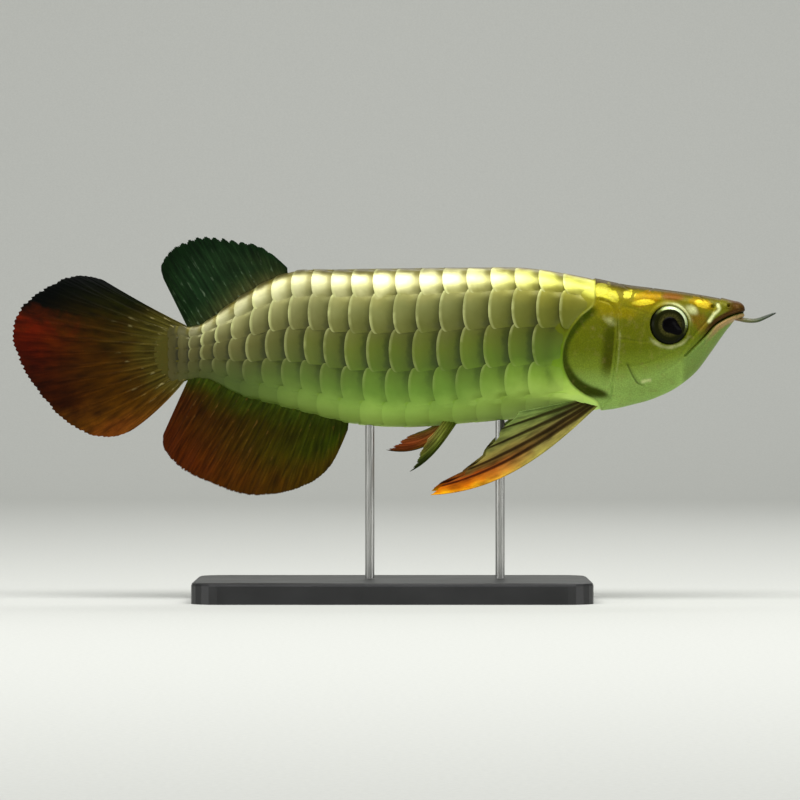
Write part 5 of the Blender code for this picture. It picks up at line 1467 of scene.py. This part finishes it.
def tube(route, radii, sides):
    """Points and faces of a round tube along a route, closed at both ends."""
    ahead = unit(np.gradient(route, axis=0))
    level = unit(np.cross(ahead, [0.0, 0.0, 1.0]))
    upright = np.cross(level, ahead)
    angle = np.arange(sides) / sides * 2 * math.pi
    ring = (level[:, None, :] * np.cos(angle)[None, :, None]
            + upright[:, None, :] * np.sin(angle)[None, :, None])
    points = (route[:, None, :] + ring * radii[:, None, None]).reshape(-1, 3)
    faces = grid_faces(len(route), sides, wrap=True).tolist()
    count = len(points)
    for j in range(sides):
        k = (j + 1) % sides
        faces.append([j, count, k])
        faces.append([count - sides + j, count - sides + k, count + 1])
    return np.concatenate([points, route[[0, -1]]]), [face[::-1] for face in faces]


barbel_finish, tree, shader = new_finish("barbel_skin")
out = add_node(tree, "Attribute", attribute_name="out").outputs["Fac"]
place = add_node(tree, "TexCoord").outputs["Object"]
mottle = add_node(tree, "TexNoise", {"Vector": place, "Scale": 1 / (0.9 * MM), "Detail": 3.0})
moved = add_node(tree, "Math", {0: mottle.outputs["Fac"], 1: 0.3, 2: out}, operation="MULTIPLY_ADD")
tint = add_node(tree, "ValToRGB", {"Fac": moved.outputs[0]},
                stops=[(0.12, linear("#8c5430")), (0.4, linear("#5a5a2c")), (0.8, linear("#2c3a18")), (1.0, linear("#18240c"))])
dents = add_node(tree, "Bump", {"Height": mottle.outputs["Fac"], "Strength": 0.3, "Distance": 0.05 * MM})
set_sockets(shader, {"Base Color": tint.outputs["Color"], "Roughness": 0.38, "IOR": 1.4, "Coat Weight": 0.3,
                     "Coat Roughness": 0.12, "Normal": dents.outputs["Normal"],
                     "Subsurface Weight": 0.1, "Subsurface Scale": 0.8 * MM})

for side, side_name, lift in ((-1, "right", 0.0), (1, "left", FAR_BARBEL_LIFT)):
    route = path_through([(x, side * y, z) for x, z, y in BARBEL], BARBEL_RINGS)
    reach = np.linspace(0, 1, BARBEL_RINGS)
    route[:, 2] += lift * np.sin(math.pi * reach)
    radii = BARBEL_RADIUS[0] + (BARBEL_RADIUS[1] - BARBEL_RADIUS[0]) * reach ** 0.8
    radii = radii * (1 + 0.035 * np.sin(reach * 150)) * np.clip((1 - reach) / 0.03, 0.25, 1) ** 0.5
    points, faces = tube(route, radii, BARBEL_SIDES)
    values = {"out": np.append(np.repeat(reach, BARBEL_SIDES), [0, 1])}
    barbel = make_piece("barbel_fine_" + side_name, points, faces, barbel_finish, values)
    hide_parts("barbel_" + side_name)

# %% [markdown]
# ## The stand
#
# The plate and the two rods keep their solids, since those already have the real shape.
# The plate is steel with black powder coat, sprayed on dry and baked, which leaves the fine
# waves of orange peel. The rods are stainless steel bar, drawn and then brushed lengthwise.

# %% Stand finishes
ORANGE_PEEL_MM = 1.1
BRUSH_MM = 0.25

powder, tree, shader = new_finish("black_powder_coat")
place = add_node(tree, "TexCoord").outputs["Object"]
peel = add_node(tree, "TexNoise", {"Vector": place, "Scale": 1 / (ORANGE_PEEL_MM * MM), "Detail": 1.5})
dust = add_node(tree, "TexNoise", {"Vector": place, "Scale": 1 / (14 * MM), "Detail": 5.0})
tint = add_node(tree, "ValToRGB", {"Fac": dust.outputs["Fac"]},
                stops=[(0.3, linear("#101011")), (0.75, linear("#1c1c1d"))])
gloss = add_node(tree, "MapRange", {"Value": dust.outputs["Fac"], "To Min": 0.34, "To Max": 0.5})
dents = add_node(tree, "Bump", {"Height": peel.outputs["Fac"], "Strength": 0.3, "Distance": 0.1 * MM})
set_sockets(shader, {"Base Color": tint.outputs["Color"], "Roughness": gloss.outputs["Result"],
                     "Normal": dents.outputs["Normal"], "IOR": 1.5})

steel, tree, shader = new_finish("brushed_stainless_steel")
place = add_node(tree, "TexCoord").outputs["Object"]
stretch = add_node(tree, "Mapping", {"Vector": place, "Scale": (1.0, 1.0, 0.02)})
brush = add_node(tree, "TexNoise", {"Vector": stretch.outputs["Vector"], "Scale": 1 / (BRUSH_MM * MM), "Detail": 2.0})
tint = add_node(tree, "ValToRGB", {"Fac": brush.outputs["Fac"]},
                stops=[(0.3, linear("#8e8e8b")), (0.7, linear("#b6b6b2"))])
gloss = add_node(tree, "MapRange", {"Value": brush.outputs["Fac"], "To Min": 0.22, "To Max": 0.4})
dents = add_node(tree, "Bump", {"Height": brush.outputs["Fac"], "Strength": 0.15, "Distance": 0.03 * MM})
set_sockets(shader, {"Base Color": tint.outputs["Color"], "Metallic": 1.0, "Roughness": gloss.outputs["Result"],
                     "Normal": dents.outputs["Normal"]})

for name, surface in (("stand_base", powder), ("stand_rod_front", steel), ("stand_rod_rear", steel)):
    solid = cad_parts[name]
    solid.data.materials.clear()
    solid.data.materials.append(surface)
print("stand dressed")
